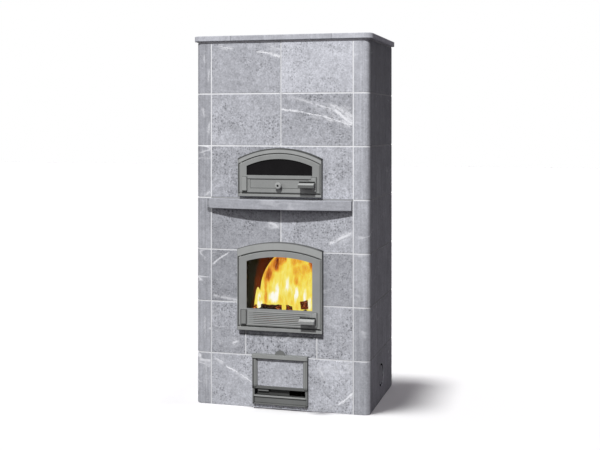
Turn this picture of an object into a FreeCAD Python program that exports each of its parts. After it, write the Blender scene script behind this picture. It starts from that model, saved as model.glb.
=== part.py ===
import FreeCAD, Part

import math
import os
from types import SimpleNamespace

import Sketcher
from FreeCAD import Vector

# Driving sizes in millimetres. Heights run up from the floor, X to the right, Y from front to back.
SIZES = {
    # Shell of sawn soapstone courses
    "heater_width": 924,
    "heater_depth": 620,
    "course_height": 270,
    "course_count": 7,
    "mortar_joint": 6,
    "mortar_recess": 1.5,
    "side_stone": 80,
    "front_stone": 60,
    "back_stone": 60,
    "corner_radius": 32,
    "stone_arris": 1.5,
    "cap_thickness": 28,
    "cap_overhang": 15,
    "cap_radius": 40,
    "cap_arris": 2.5,
    "shelf_thickness": 50,
    "shelf_end_reach": 32,
    "shelf_middle_reach": 75,
    "sill_height": 18,
    "ash_opening_half": 138,
    "stone_opening_margin": 9.5,
    "fire_sill_rise": 23,
    # Round sweep plugs low on both sides
    "plug_radius": 59.7,
    "plug_play": 0.3,
    "plug_recess": 1,
    "plug_arris": 1.5,
    "plug_groove": 10,
    "plug_groove_depth": 9,
    # Flue collar in the back
    "flue_radius": 75,
    "flue_wall": 3,
    "flue_play": 0.3,
    "flue_lift": 18,
    "flue_stub": 45,
    "flue_flange_radius": 96,
    "flue_flange": 4,
    # Core
    "base_thickness": 40,
    "core_wall": 50,
    "firebox_half": 200,
    "pit_half": 124,
    "rear_gap": 60,
    "rear_board_lap": 30,
    "hearth_thickness": 60,
    "hearth_rise": 29,
    "oven_slab": 60,
    "oven_floor_rise": 21,
    "throat_depth": 80,
    "oven_roof_drop": 10,
    "roof_gap": 120,
    "corbel_width": 40,
    "corbel_height": 60,
    "lid_thickness": 60,
    "insulation_thickness": 30,
    # Cast grate in the hearth
    "grate_half_width": 90,
    "grate_half_length": 120,
    "grate_thickness": 23,
    "grate_seat": 25,
    "grate_ledge": 15,
    "grate_play": 0.5,
    "grate_slot": 9,
    "grate_slot_pitch": 18,
    "grate_slot_count": 9,
    "grate_border": 24,
    # Both doors: depth of the frame and what lies in it
    "frame_depth": 32,
    "pocket_depth": 22,
    "leaf_thickness": 12,
    "door_gap": 2.5,
    "leaf_bevel": 6.5,
    "metal_arris": 1,
    "glass_thickness": 5,
    "gasket_thickness": 2,
    "gasket_reveal": 3,
    "glass_overlap": 10,
    "glass_play": 0.4,
    "seal_inset": 8,
    "seal_width": 9,
    "seal_play": 0.3,
    "clip_width": 13,
    "clip_height": 20,
    "clip_thickness": 2,
    "clip_lap": 5,
    "clip_head_radius": 3.5,
    "clip_head": 2,
    "hinge_inset": 11,
    "hinge_radius": 3,
    "hinge_play": 0.05,
    "hinge_grip": 12,
    "hinge_reach": 14,
    "hinge_end_play": 0.5,
    "collar_radius": 5.5,
    "collar_play": 0.3,
    "plate_width": 25,
    "plate_height": 71,
    "plate_thickness": 10,
    "plate_inset": 20,
    "plate_margin": 2,
    "plate_seat": 3.5,
    "plate_rise": 14,
    "screw_inset": 5.2,
    "screw_radius": 2.5,
    "screw_head_radius": 4.4,
    "screw_head": 2.6,
    "screw_length": 35,
    "screw_play": 0.1,
    "screw_hole_end": 5,
    # Both doors: lever handle and latch
    "latch_inset": 37,
    "handle_drop": 4,
    "handle_left": 68,
    "handle_right": 12,
    "handle_block": 8,
    "handle_gap": 20,
    "handle_depth": 30,
    "handle_height": 24,
    "handle_slope": 9,
    "handle_round": 2,
    "shield_thickness": 2,
    "shield_side": 3,
    "shield_top": 8,
    "spindle_radius": 4,
    "spindle_play": 0.1,
    "cam_left": 8,
    "cam_right": 5,
    "cam_half": 5,
    "cam_thickness": 6,
    "cam_gap": 1.5,
    # Fire door
    "fire_frame_half": 225.5,
    "fire_frame_drop": 139,
    "fire_frame_over": 45.5,
    "fire_frame_rise": 38,
    "fire_side_band": 3,
    "fire_bottom_band": 17,
    "fire_head_band": 38.4,
    "fire_flange": 30,
    "fire_flange_side": 39,
    "fire_stile": 45.5,
    "fire_head": 33,
    "fire_rail": 93.5,
    "fire_screw_end": 66,
    "grille_side": 6,
    "grille_foot": 6.5,
    "grille_top": 9,
    "grille_recess": 5,
    "grille_plate": 3,
    "grille_play": 0.3,
    "grille_border": 4,
    "rib_count": 8,
    "rib_height": 4.6,
    "rib_depth": 3,
    "rib_slit": 2.4,
    "air_slot_half": 140,
    "air_slot_height": 30,
    # Oven door
    "oven_frame_half": 222,
    "oven_frame_lift": 9,
    "oven_frame_height": 247.5,
    "oven_frame_rise": 54,
    "oven_side_band": 3,
    "oven_bottom_band": 13,
    "oven_head_band": 24.5,
    "oven_flange": 26,
    "oven_flange_side": 33.5,
    "oven_stile": 42,
    "oven_head": 27.5,
    "oven_rail": 93.5,
    "oven_screw_low": 60,
    "oven_screw_high": 140,
    "bar_height": 17,
    "bar_depth": 4,
    "bar_gap": 0.5,
    "panel_half": 155,
    "panel_foot": 26.5,
    "panel_top": 21,
    "panel_groove": 2.2,
    "panel_groove_depth": 3,
    "vent_rise": 41.5,
    "knob_radius": 17,
    "knob_length": 14,
    "knob_dome": 4,
    "knob_dish": 6,
    "knob_dish_depth": 5,
    "stem_radius": 7,
    "stem_length": 12,
    "stem_gap": 0.3,
    "vent_disc_radius": 22,
    "vent_disc": 2,
    "vent_disc_gap": 0.3,
    # Ash drawer with its stone-faced front
    "ash_half": 146.5,
    "ash_low": 104,
    "ash_lap": 9,
    "ash_gap": 1,
    "ash_depth": 23,
    "ash_bar_height": 19.5,
    "ash_bar_depth": 8,
    "ash_stile": 25,
    "ash_foot": 11,
    "ash_head": 25,
    "ash_stone_seat": 20,
    "ash_stone_recess": 12,
    "ash_stone_play": 0.3,
    "ash_slope": 9,
    "ash_slope_depth": 11,
    "tab_half": 27,
    "tab_height": 23,
    "tab_thickness": 4,
    "tab_reach": 12,
    "pan_half": 110,
    "pan_wall": 3,
    "pan_height": 90,
    "pan_lift": 0.3,
    "pan_end_gap": 40,
    "rail_low": 96,
    "rail_height": 10,
    "rail_width": 24,
    "rail_front_gap": 5,
    "rail_end_gap": 10,
    # Plinth frame with the air slot, and the air slide behind it
    "plinth_low": 21.5,
    "plinth_high": 102,
    "plinth_depth": 20,
    "slot_half": 135,
    "slot_low": 70,
    "lip_height": 9,
    "plinth_recess": 9,
    "plinth_border": 6,
    "slide_left": 125,
    "slide_right": 45,
    "slide_low": 64,
    "slide_high": 98,
    "slide_thickness": 3,
    "slide_gap": 0.6,
    "slide_play": 0.3,
    "slide_tab_left": 118,
    "slide_tab_right": 62,
    "slide_tab_height": 8,
    "slide_tab_reach": 14,
    "guide_half": 132,
    "guide_height": 6,
    "guide_lip": 6,
    "guide_wall": 4,
}

# Heights of the glass clips as shares of the straight side of the window.
CLIP_SHARES = (0.15, 0.65)
# How close two places count as one, and the height over which an edge stands upright.
SAME_PLACE = 0.01
UPRIGHT = 1


class Size:
    """A length that carries its number and the formula that gives it."""

    def __init__(self, text, value):
        self.text = text
        self.value = value

    def _join(self, other, sign, value):
        right = other.text if isinstance(other, Size) else repr(other)
        return Size(f"({self.text} {sign} {right})", value)

    def __add__(self, other):
        return self._join(other, "+", self.value + number(other))

    def __sub__(self, other):
        return self._join(other, "-", self.value - number(other))

    def __mul__(self, other):
        return self._join(other, "*", self.value * number(other))

    def __truediv__(self, other):
        return self._join(other, "/", self.value / number(other))

    def __neg__(self):
        return Size(f"(-1 * {self.text})", -self.value)

    def root(self):
        return Size(f"sqrt({self.text})", math.sqrt(self.value))


class Arch:
    """A rectangle with a round head: half width, foot, centre and radius of the head."""

    def __init__(self, half, foot, centre, radius):
        self.half = half
        self.foot = foot
        self.centre = centre
        self.radius = radius

    def inset(self, side, foot, head):
        return Arch(self.half - side, self.foot + foot, self.centre, self.radius - head)

    def shrink(self, margin):
        return self.inset(margin, margin, margin)

    def height_at(self, reach):
        """Height of the head at a distance from the middle."""
        return self.centre + (self.radius * self.radius - reach * reach).root()


def number(item):
    return item.value if isinstance(item, Size) else item


doc = FreeCAD.newDocument("MasonryHeater")
sheet = doc.addObject("Spreadsheet::Sheet", "Sizes")
for row, (alias, amount) in enumerate(SIZES.items(), 1):
    sheet.set(f"A{row}", alias.replace("_", " "))
    sheet.set(f"B{row}", str(amount))
    sheet.setAlias(f"B{row}", alias)
doc.recompute()
S = SimpleNamespace(**{alias: Size(f"Sizes.{alias}", float(sheet.get(alias))) for alias in SIZES})
ZERO = Size("0", 0.0)
NODES = {}
SCREWS = []
PINS = []


def bind(item, path, size):
    item.setExpression(path, size.text)


def node(label, *items):
    """Names a part of the heater, grouping its solids when there are several."""
    if len(items) == 1:
        whole = items[0]
    else:
        whole = doc.addObject("Part::Compound", f"{label}_group")
        whole.Links = list(items)
    whole.Label = label
    NODES[label] = whole
    return whole


def box(name, x, y, z):
    """A block between pairs of low and high places."""
    item = doc.addObject("Part::Box", name)
    for axis, side, pair in (("x", "Length", x), ("y", "Width", y), ("z", "Height", z)):
        bind(item, f"Placement.Base.{axis}", pair[0])
        bind(item, side, pair[1] - pair[0])
    return item


def rod(name, radius, length, x, y, z, way):
    """A cylinder from a place, running along a way."""
    item = doc.addObject("Part::Cylinder", name)
    bind(item, "Radius", radius)
    bind(item, "Height", length)
    item.Placement = FreeCAD.Placement(Vector(0, 0, 0), FreeCAD.Rotation(Vector(0, 0, 1), way))
    for axis, place in (("x", x), ("y", y), ("z", z)):
        bind(item, f"Placement.Base.{axis}", place)
    return item


def fuse(name, *items):
    whole = doc.addObject("Part::MultiFuse", name)
    whole.Shapes = list(items)
    return whole


FORWARD = Vector(0, -1, 0)
UP = Vector(0, 0, 1)


def locate(sketch, geometry, point, x, y):
    """Holds a point of a sketch at a place."""
    for kind, axis, place in (("DistanceX", -2, x), ("DistanceY", -1, y)):
        if place.value == 0:
            sketch.addConstraint(Sketcher.Constraint("PointOnObject", geometry, point, axis))
        else:
            index = sketch.addConstraint(Sketcher.Constraint(kind, -1, 1, geometry, point, place.value))
            bind(sketch, f"Constraints[{index}]", place)


def measure(sketch, constraint, size):
    index = sketch.addConstraint(constraint)
    bind(sketch, f"Constraints[{index}]", size)


def polygon(sketch, corners):
    count = len(corners)
    first = sketch.GeometryCount
    for index in range(count):
        here = corners[index]
        there = corners[(index + 1) % count]
        line = Part.LineSegment(Vector(here[0].value, here[1].value, 0), Vector(there[0].value, there[1].value, 0))
        sketch.addGeometry(line)
    for index in range(count):
        following = first + (index + 1) % count
        sketch.addConstraint(Sketcher.Constraint("Coincident", first + index, 2, following, 1))
    for index, (x, y) in enumerate(corners):
        locate(sketch, first + index, 1, x, y)


def rectangle(sketch, x, y):
    polygon(sketch, [(x[0], y[0]), (x[1], y[0]), (x[1], y[1]), (x[0], y[1])])


def circle(sketch, x, y, radius):
    index = sketch.addGeometry(Part.Circle(Vector(x.value, y.value, 0), Vector(0, 0, 1), radius.value))
    measure(sketch, Sketcher.Constraint("Radius", index, radius.value), radius)
    locate(sketch, index, 3, x, y)


def arch(sketch, shape, way=1):
    """Draws an arch; its round side lies above the foot, or below it when way is -1."""
    first = sketch.GeometryCount
    half = shape.half.value
    foot = shape.foot.value
    centre = shape.centre.value
    radius = shape.radius.value
    spring = math.sqrt(radius * radius - half * half)
    top = centre + way * spring
    start = math.atan2(spring, half) if way > 0 else math.pi + math.atan2(spring, half)
    end = math.pi - start if way > 0 else 3 * math.pi - start
    right = Vector(half, top, 0)
    left = Vector(-half, top, 0)
    sketch.addGeometry(Part.LineSegment(Vector(-half, foot, 0), Vector(half, foot, 0)))
    sketch.addGeometry(Part.LineSegment(Vector(half, foot, 0), right))
    sketch.addGeometry(Part.ArcOfCircle(Part.Circle(Vector(0, centre, 0), Vector(0, 0, 1), radius), start, end))
    sketch.addGeometry(Part.LineSegment(left, Vector(-half, foot, 0)))
    opening, closing = (1, 2) if way > 0 else (2, 1)
    sketch.addConstraint(Sketcher.Constraint("Coincident", first, 2, first + 1, 1))
    sketch.addConstraint(Sketcher.Constraint("Coincident", first + 1, 2, first + 2, opening))
    sketch.addConstraint(Sketcher.Constraint("Coincident", first + 2, closing, first + 3, 1))
    sketch.addConstraint(Sketcher.Constraint("Coincident", first + 3, 2, first, 1))
    sketch.addConstraint(Sketcher.Constraint("Vertical", first + 1))
    sketch.addConstraint(Sketcher.Constraint("Vertical", first + 3))
    locate(sketch, first, 1, -shape.half, shape.foot)
    locate(sketch, first, 2, shape.half, shape.foot)
    locate(sketch, first + 2, 3, ZERO, shape.centre)
    measure(sketch, Sketcher.Constraint("Radius", first + 2, radius), shape.radius)


class Piece:
    """One body built up feature by feature."""

    def __init__(self, name, x=ZERO, y=ZERO, z=ZERO):
        self.name = name
        self.body = doc.addObject("PartDesign::Body", name)
        for axis, place in (("x", x), ("y", y), ("z", z)):
            bind(self.body, f"Placement.Base.{axis}", place)

    def plane(self, role):
        return [item for item in self.body.Origin.OriginFeatures if item.Role == role][0]

    def sketch(self, role, offset=ZERO):
        """A sketch on a plane: XZ faces the front, XY faces up, YZ faces right."""
        item = self.body.newObject("Sketcher::SketchObject", f"{self.name}_sketch")
        item.AttachmentSupport = [(self.plane(role), "")]
        item.MapMode = "FlatFace"
        bind(item, "AttachmentOffset.Base.z", offset)
        return item

    def feature(self, kind, sketch, length, flip):
        item = self.body.newObject(f"PartDesign::{kind}", f"{self.name}_{kind}")
        item.Profile = sketch
        if length is None:
            item.Type = "ThroughAll"
        else:
            bind(item, "Length", length)
        item.Reversed = flip
        return item

    def pad(self, sketch, length, flip=False):
        return self.feature("Pad", sketch, length, flip)

    def pocket(self, sketch, length=None, flip=False):
        doc.recompute()
        before = self.body.Shape.Volume
        item = self.feature("Pocket", sketch, length, flip)
        doc.recompute()
        if self.body.Shape.Volume >= before:
            raise RuntimeError(f"{item.Name} cuts nothing")
        return item

    def turn(self, sketch, axis):
        item = self.body.newObject("PartDesign::Revolution", f"{self.name}_turn")
        item.Profile = sketch
        item.ReferenceAxis = (sketch, [axis])
        item.Angle = 360
        return item

    def row(self, features, role, length, count):
        """Repeats features along the vertical axis of a sketch plane or a body axis."""
        item = self.body.newObject("PartDesign::LinearPattern", f"{self.name}_row")
        item.Originals = features
        item.Direction = (self.plane(role), [""])
        bind(item, "Length", length)
        bind(item, "Occurrences", count)
        self.body.Tip = item
        return item

    def dress(self, kind, path, size, pick):
        """Rounds or bevels the edges that the pick accepts, seen in the body's own frame."""
        doc.recompute()
        base = self.body.Tip
        names = [f"Edge{index}" for index, edge in enumerate(base.Shape.Edges, 1) if pick(edge)]
        if not names:
            raise RuntimeError(f"{self.name} has no edge to dress")
        item = self.body.newObject(f"PartDesign::{kind}", f"{self.name}_{kind}")
        item.Base = (base, names)
        bind(item, path, size)
        return item

    def fillet(self, radius, pick):
        return self.dress("Fillet", "Radius", radius, pick)

    def chamfer(self, size, pick):
        return self.dress("Chamfer", "Size", size, pick)


def near(one, other):
    return abs(one - other.value) < SAME_PLACE


def on_plane(axis, place):
    """Accepts the edges that lie in a plane across an axis."""
    def pick(edge):
        box_of_edge = edge.BoundBox
        low = getattr(box_of_edge, f"{axis}Min")
        high = getattr(box_of_edge, f"{axis}Max")
        return near(low, place) and near(high, place)
    return pick


# Places that follow from the sizes
top = S.course_height * S.course_count
front = -(S.heater_depth / 2)
back = S.heater_depth / 2
outer = S.heater_width / 2
inner = outer - S.side_stone
run = inner - S.mortar_joint
front_in = front + S.front_stone
back_in = back - S.back_stone
core_back = back_in - S.rear_gap
half_joint = S.mortar_joint / 2


def course(index):
    """Low and high face of the stones in a course, counted from zero."""
    low = S.course_height * index if index else ZERO
    return low, S.course_height * (index + 1) - S.mortar_joint


flue_middle = course(0)[1] / 2 + S.flue_lift


def stone(name, x, z, holes=()):
    """A front stone with eased edges on its face and blind holes for frame screws."""
    piece = Piece(name)
    face = piece.sketch("XZ_Plane", -front_in)
    rectangle(face, x, z)
    piece.pad(face, S.front_stone)
    piece.chamfer(S.stone_arris, on_plane("Y", front))
    for place in holes:
        drill(piece, place)
    return piece.body


def drill(piece, place):
    """A blind hole for a frame screw, from the face of a stone."""
    mark = piece.sketch("XZ_Plane", -front)
    circle(mark, place[0], place[1], S.screw_radius + S.screw_play)
    piece.pocket(mark, S.screw_length + S.screw_hole_end)


def side_slab(name, sign, z, inset, plug=False):
    """A side stone or joint with a rounded front corner; the lowest stone has a round hole."""
    piece = Piece(name)
    near_x = inner * sign
    far_x = (outer - inset) * sign
    plan = piece.sketch("XY_Plane", z[0])
    rectangle(plan, (near_x, far_x), (front + inset, back - inset))
    piece.pad(plan, z[1] - z[0])

    def corner(edge):
        low, high = edge.BoundBox.ZMin, edge.BoundBox.ZMax
        return high - low > UPRIGHT and near(edge.BoundBox.YMin, front + inset) and near(edge.BoundBox.XMin, far_x)

    piece.fillet(S.corner_radius - inset, corner)
    if inset is ZERO:
        def arris(edge):
            box_of_edge = edge.BoundBox
            level = box_of_edge.ZMax - box_of_edge.ZMin < UPRIGHT
            hidden = near(box_of_edge.YMin, back) or (near(box_of_edge.XMin, near_x) and near(box_of_edge.XMax, near_x))
            reveal = near(box_of_edge.YMax, front) and near(box_of_edge.XMin, near_x) and near(box_of_edge.XMax, near_x)
            return (level and not hidden) or reveal
        piece.chamfer(S.stone_arris, arris)
    if plug:
        mark = piece.sketch("YZ_Plane")
        circle(mark, ZERO, z[1] / 2, S.plug_radius + S.plug_play)
        piece.pocket(mark, None, sign > 0)
    return piece.body


def door_sizes(name):
    """The arches of one door, all round one centre."""
    size = SimpleNamespace(name=name)
    for key in ("half", "rise"):
        setattr(size, key, getattr(S, f"{name}_frame_{key}"))
    for key in ("side_band", "bottom_band", "head_band", "flange", "flange_side", "stile", "head", "rail"):
        setattr(size, key, getattr(S, f"{name}_{key}"))
    if name == "fire":
        size.low = S.course_height * 2 - S.fire_frame_drop
        size.height = S.course_height + S.fire_frame_drop + S.fire_frame_over
        size.screws = (S.course_height * 2 + S.fire_screw_end, S.course_height * 3 - S.fire_screw_end)
    else:
        size.low = S.course_height * 4 + S.oven_frame_lift
        size.height = S.oven_frame_height
        size.screws = (S.course_height * 4 + S.oven_screw_low, S.course_height * 4 + S.oven_screw_high)
    radius = (size.half * size.half + size.rise * size.rise) / (size.rise * 2)
    size.frame = Arch(size.half, size.low, size.low + size.height - radius, radius)
    size.pocket = size.frame.inset(size.side_band, size.bottom_band, size.head_band)
    size.opening = size.pocket.inset(size.flange_side, size.flange, size.flange)
    size.leaf = size.pocket.shrink(S.door_gap)
    size.window = size.leaf.inset(size.stile, size.rail, size.head)
    size.pane = size.window.shrink(-S.glass_overlap)
    size.hinge = size.leaf.half - S.hinge_inset
    size.screw_x = size.pocket.half - S.screw_inset
    size.plate = (size.leaf.half - S.plate_inset - S.plate_width, size.leaf.half - S.plate_inset)
    size.plate_low = size.leaf.foot + S.plate_rise
    size.latch_x = size.leaf.half - S.latch_inset
    size.latch_z = size.plate_low + S.plate_height / 2 - S.handle_drop
    size.stone = size.opening.shrink(-S.stone_opening_margin / 2)
    return size


FIRE = door_sizes("fire")
OVEN = door_sizes("oven")
fire_half = FIRE.opening.half + S.stone_opening_margin
fire_sill = FIRE.low + S.fire_sill_rise
shelf_top = S.course_height * 4 - S.mortar_joint
shelf_low = shelf_top - S.shelf_thickness


def build_shell():
    """Stones of the sides, back and front, the shelf, the cap and the joints between them."""
    count = int(S.course_count.value)
    for label, sign in (("left", -1), ("right", 1)):
        slabs = [
            side_slab(f"side_{label}_{index + 1}", sign, course(index), ZERO, index == 0)
            for index in range(count)
        ]
        node(f"side_stones_{label}", *slabs)
    back_x = (-run, run)
    rows = [box(f"back_{index + 1}", back_x, (back_in, back), course(index)) for index in range(1, count)]
    node("back_stones", *rows)
    back_base = Piece("back_base_stone")
    face = back_base.sketch("XZ_Plane", -back)
    rectangle(face, back_x, course(0))
    back_base.pad(face, S.back_stone)
    mark = back_base.sketch("XZ_Plane", -back)
    circle(mark, ZERO, flue_middle, S.flue_radius + S.flue_wall + S.flue_play)
    back_base.pocket(mark, None, True)
    node("back_base_stone", back_base.body)
    build_front(count)
    build_shelf()
    build_cap()
    build_mortar(count)


def build_front(count):
    """Seven courses of front stones round the ash drawer, the fire door and the oven door."""
    ash = S.ash_opening_half
    low, high = course(0)
    node(
        "front_course_1",
        stone("front_1_left", (-run, -ash), (low, high)),
        stone("front_1_right", (ash, run), (low, high)),
        stone("front_1_sill", (-(ash - S.mortar_joint), ash - S.mortar_joint), (low, S.sill_height)),
    )
    low, high = course(1)
    middle = fire_half - S.mortar_joint
    node(
        "front_course_2",
        stone("front_2_left", (-run, -fire_half), (low, high)),
        stone("front_2_middle", (-middle, middle), (low, fire_sill)),
        stone("front_2_right", (fire_half, run), (low, high)),
    )
    left_holes = [(-FIRE.screw_x, height) for height in FIRE.screws]
    right_holes = [(FIRE.screw_x, height) for height in FIRE.screws]
    node(
        "front_course_3",
        stone("front_3_left", (-run, -fire_half), course(2), left_holes),
        stone("front_3_right", (fire_half, run), course(2), right_holes),
    )
    low = course(3)[0]
    high = shelf_low - S.mortar_joint
    node(
        "front_course_4",
        stone("front_4_left", (-run, -half_joint), (low, high)),
        stone("front_4_right", (half_joint, run), (low, high)),
    )
    surround = Piece("front_course_5")
    face = surround.sketch("XZ_Plane", -front_in)
    rectangle(face, (-run, run), course(4))
    surround.pad(face, S.front_stone)
    surround.chamfer(S.stone_arris, on_plane("Y", front))
    mouth = surround.sketch("XZ_Plane", -front)
    arch(mouth, OVEN.stone)
    surround.pocket(mouth)
    for height in OVEN.screws:
        drill(surround, (-OVEN.screw_x, height))
        drill(surround, (OVEN.screw_x, height))
    node("front_course_5", surround.body)
    for index in range(5, count):
        node(
            f"front_course_{index + 1}",
            stone(f"front_{index + 1}_left", (-run, -half_joint), course(index)),
            stone(f"front_{index + 1}_right", (half_joint, run), course(index)),
        )


def build_shelf():
    """A bowed shelf stone let in across the whole front."""
    sag = S.shelf_middle_reach - S.shelf_end_reach
    radius = (run * run + sag * sag) / (sag * 2)
    shelf = Piece("shelf_stone")
    plan = shelf.sketch("XY_Plane", shelf_low)
    arch(plan, Arch(run, front_in, front - S.shelf_middle_reach + radius, radius), -1)
    shelf.pad(plan, S.shelf_thickness)

    def nose(edge):
        level = edge.BoundBox.ZMax - edge.BoundBox.ZMin < UPRIGHT
        return level and edge.BoundBox.YMin < front.value - UPRIGHT

    shelf.chamfer(S.cap_arris, nose)
    node("shelf_stone", shelf.body)


def build_cap():
    """The cap slab, level with the back and overhanging the front and the sides."""
    reach = outer + S.cap_overhang
    edge_y = front - S.cap_overhang
    cap = Piece("cap_slab")
    plan = cap.sketch("XY_Plane", top)
    rectangle(plan, (-reach, reach), (edge_y, back))
    cap.pad(plan, S.cap_thickness)

    def corner(edge):
        tall = edge.BoundBox.ZMax - edge.BoundBox.ZMin > UPRIGHT
        return tall and near(edge.BoundBox.YMax, edge_y)

    def rim(edge):
        level = edge.BoundBox.ZMax - edge.BoundBox.ZMin < UPRIGHT
        return level and not near(edge.BoundBox.YMin, back)

    cap.fillet(S.cap_radius, corner)
    cap.chamfer(S.cap_arris, rim)
    node("cap_slab", cap.body)


def build_mortar(count):
    """Bed joints under each course and upright joints between the stones."""
    face = front + S.mortar_recess
    depth = (face, front_in)
    rear = (back_in, back - S.mortar_recess)
    joints = []
    for index in range(count):
        bed = (course(index)[1], S.course_height * (index + 1))
        for label, sign in (("left", -1), ("right", 1)):
            joints.append(side_slab(f"bed_{label}_{index + 1}", sign, bed, S.mortar_recess))
        joints.append(box(f"bed_back_{index + 1}", (-run, run), rear, bed))
        gap = {0: S.ash_opening_half, 1: fire_half, 2: fire_half}.get(index)
        if gap is None:
            joints.append(box(f"bed_front_{index + 1}", (-run, run), depth, bed))
        else:
            joints.append(box(f"bed_front_left_{index + 1}", (-run, -gap), depth, bed))
            joints.append(box(f"bed_front_right_{index + 1}", (gap, run), depth, bed))
        if index >= 5:
            joints.append(box(f"head_{index + 1}", (-half_joint, half_joint), depth, course(index)))
    under_shelf = (shelf_low - S.mortar_joint, shelf_low)
    joints.append(box("bed_shelf", (-run, run), depth, under_shelf))
    joints.append(box("head_4", (-half_joint, half_joint), depth, (course(3)[0], under_shelf[0])))
    middle = fire_half - S.mortar_joint
    sill = S.ash_opening_half - S.mortar_joint
    for label, sign in (("left", -1), ("right", 1)):
        ends = sorted((run * sign, inner * sign), key=number)
        joints.append(box(f"edge_front_{label}", ends, depth, (ZERO, top)))
        joints.append(box(f"edge_back_{label}", ends, rear, (ZERO, top)))
        ends = sorted((middle * sign, fire_half * sign), key=number)
        joints.append(box(f"head_2_{label}", ends, depth, (course(1)[0], fire_sill)))
        ends = sorted((sill * sign, S.ash_opening_half * sign), key=number)
        joints.append(box(f"head_1_{label}", ends, depth, (ZERO, S.sill_height)))
    node("mortar_joints", *joints)


def build_plugs():
    """Round stone plugs over the sweep holes."""
    for label, sign in (("left", -1), ("right", 1)):
        plug = Piece(f"sweep_plug_{label}")
        mark = plug.sketch("YZ_Plane", inner * sign)
        circle(mark, ZERO, course(0)[1] / 2, S.plug_radius)
        plug.pad(mark, S.side_stone - S.plug_recess, sign < 0)
        plug.chamfer(S.plug_arris, on_plane("X", (outer - S.plug_recess) * sign))
        mark = plug.sketch("YZ_Plane", (outer - S.plug_recess) * sign)
        circle(mark, ZERO, course(0)[1] / 2, S.plug_radius + S.plug_play)
        circle(mark, ZERO, course(0)[1] / 2, S.plug_radius - S.plug_groove)
        plug.pocket(mark, S.plug_groove_depth, sign < 0)
        node(f"sweep_plug_{label}", plug.body)


def build_flue():
    """A turned collar through the lowest back stone."""
    collar = Piece("flue_collar", ZERO, ZERO, flue_middle)
    profile = collar.sketch("XY_Plane")
    bore = S.flue_radius
    skin = S.flue_radius + S.flue_wall
    polygon(profile, [
        (bore, back_in),
        (skin, back_in),
        (skin, back),
        (S.flue_flange_radius, back),
        (S.flue_flange_radius, back + S.flue_flange),
        (skin, back + S.flue_flange),
        (skin, back + S.flue_stub),
        (bore, back + S.flue_stub),
    ])
    collar.turn(profile, "V_Axis")
    node("flue_collar", collar.body)


def build_core():
    """Stones inside the shell: pit, hearth, firebox, oven, lid and the boards behind and above."""
    wall_out = S.firebox_half + S.core_wall
    deep = (front_in, core_back)
    rear_wall = (core_back - S.core_wall, core_back)
    hearth_top = FIRE.low + S.hearth_rise
    hearth_low = hearth_top - S.hearth_thickness
    oven_top = OVEN.low + S.oven_floor_rise
    oven_low = oven_top - S.oven_slab
    roof_low = S.course_height * 5 - S.oven_roof_drop
    roof_top = roof_low + S.oven_slab
    board_low = top - S.insulation_thickness
    lid_low = board_low - S.lid_thickness
    core = (-inner, inner)
    inside = (-S.firebox_half, S.firebox_half)
    across = (-wall_out, wall_out)

    node("base_slab", box("base", core, (front_in, back_in), (ZERO, S.base_thickness)))
    pit = (S.base_thickness, hearth_low)
    node(
        "ash_pit_walls",
        box("pit_left", (-wall_out, -S.pit_half), deep, pit),
        box("pit_right", (S.pit_half, wall_out), deep, pit),
        box("pit_back", (-S.pit_half, S.pit_half), rear_wall, pit),
    )
    fire = (hearth_top, oven_low)
    node(
        "firebox_walls",
        box("firebox_left", (-wall_out, -S.firebox_half), deep, fire),
        box("firebox_right", (S.firebox_half, wall_out), deep, fire),
        box("firebox_back", inside, rear_wall, fire),
    )
    throat = core_back - S.core_wall - S.throat_depth
    node(
        "oven_floor",
        box("oven_floor_slab", across, (front_in, throat), (oven_low, oven_top)),
        box("throat_beam", across, rear_wall, (oven_low, oven_top)),
    )
    oven = (oven_top, roof_low)
    node(
        "oven_walls",
        box("oven_left", (-wall_out, -S.firebox_half), deep, oven),
        box("oven_right", (S.firebox_half, wall_out), deep, oven),
        box("oven_back", inside, rear_wall, oven),
    )
    node("oven_roof", box("roof", across, (front_in + S.roof_gap, core_back), (roof_low, roof_top)))
    node("rear_board", box("rear", core, (core_back, back_in), (hearth_top - S.rear_board_lap, lid_low)))
    corbel = (lid_low - S.corbel_height, lid_low)
    node(
        "lid_corbels",
        box("corbel_left", (-inner, -(inner - S.corbel_width)), deep, corbel),
        box("corbel_right", (inner - S.corbel_width, inner), deep, corbel),
    )
    node("core_lid", box("lid", core, (front_in, back_in), (lid_low, board_low)))
    node("lid_insulation", box("insulation", core, (front_in, back_in), (board_low, top)))
    build_hearth(hearth_low, hearth_top, wall_out)


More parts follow.
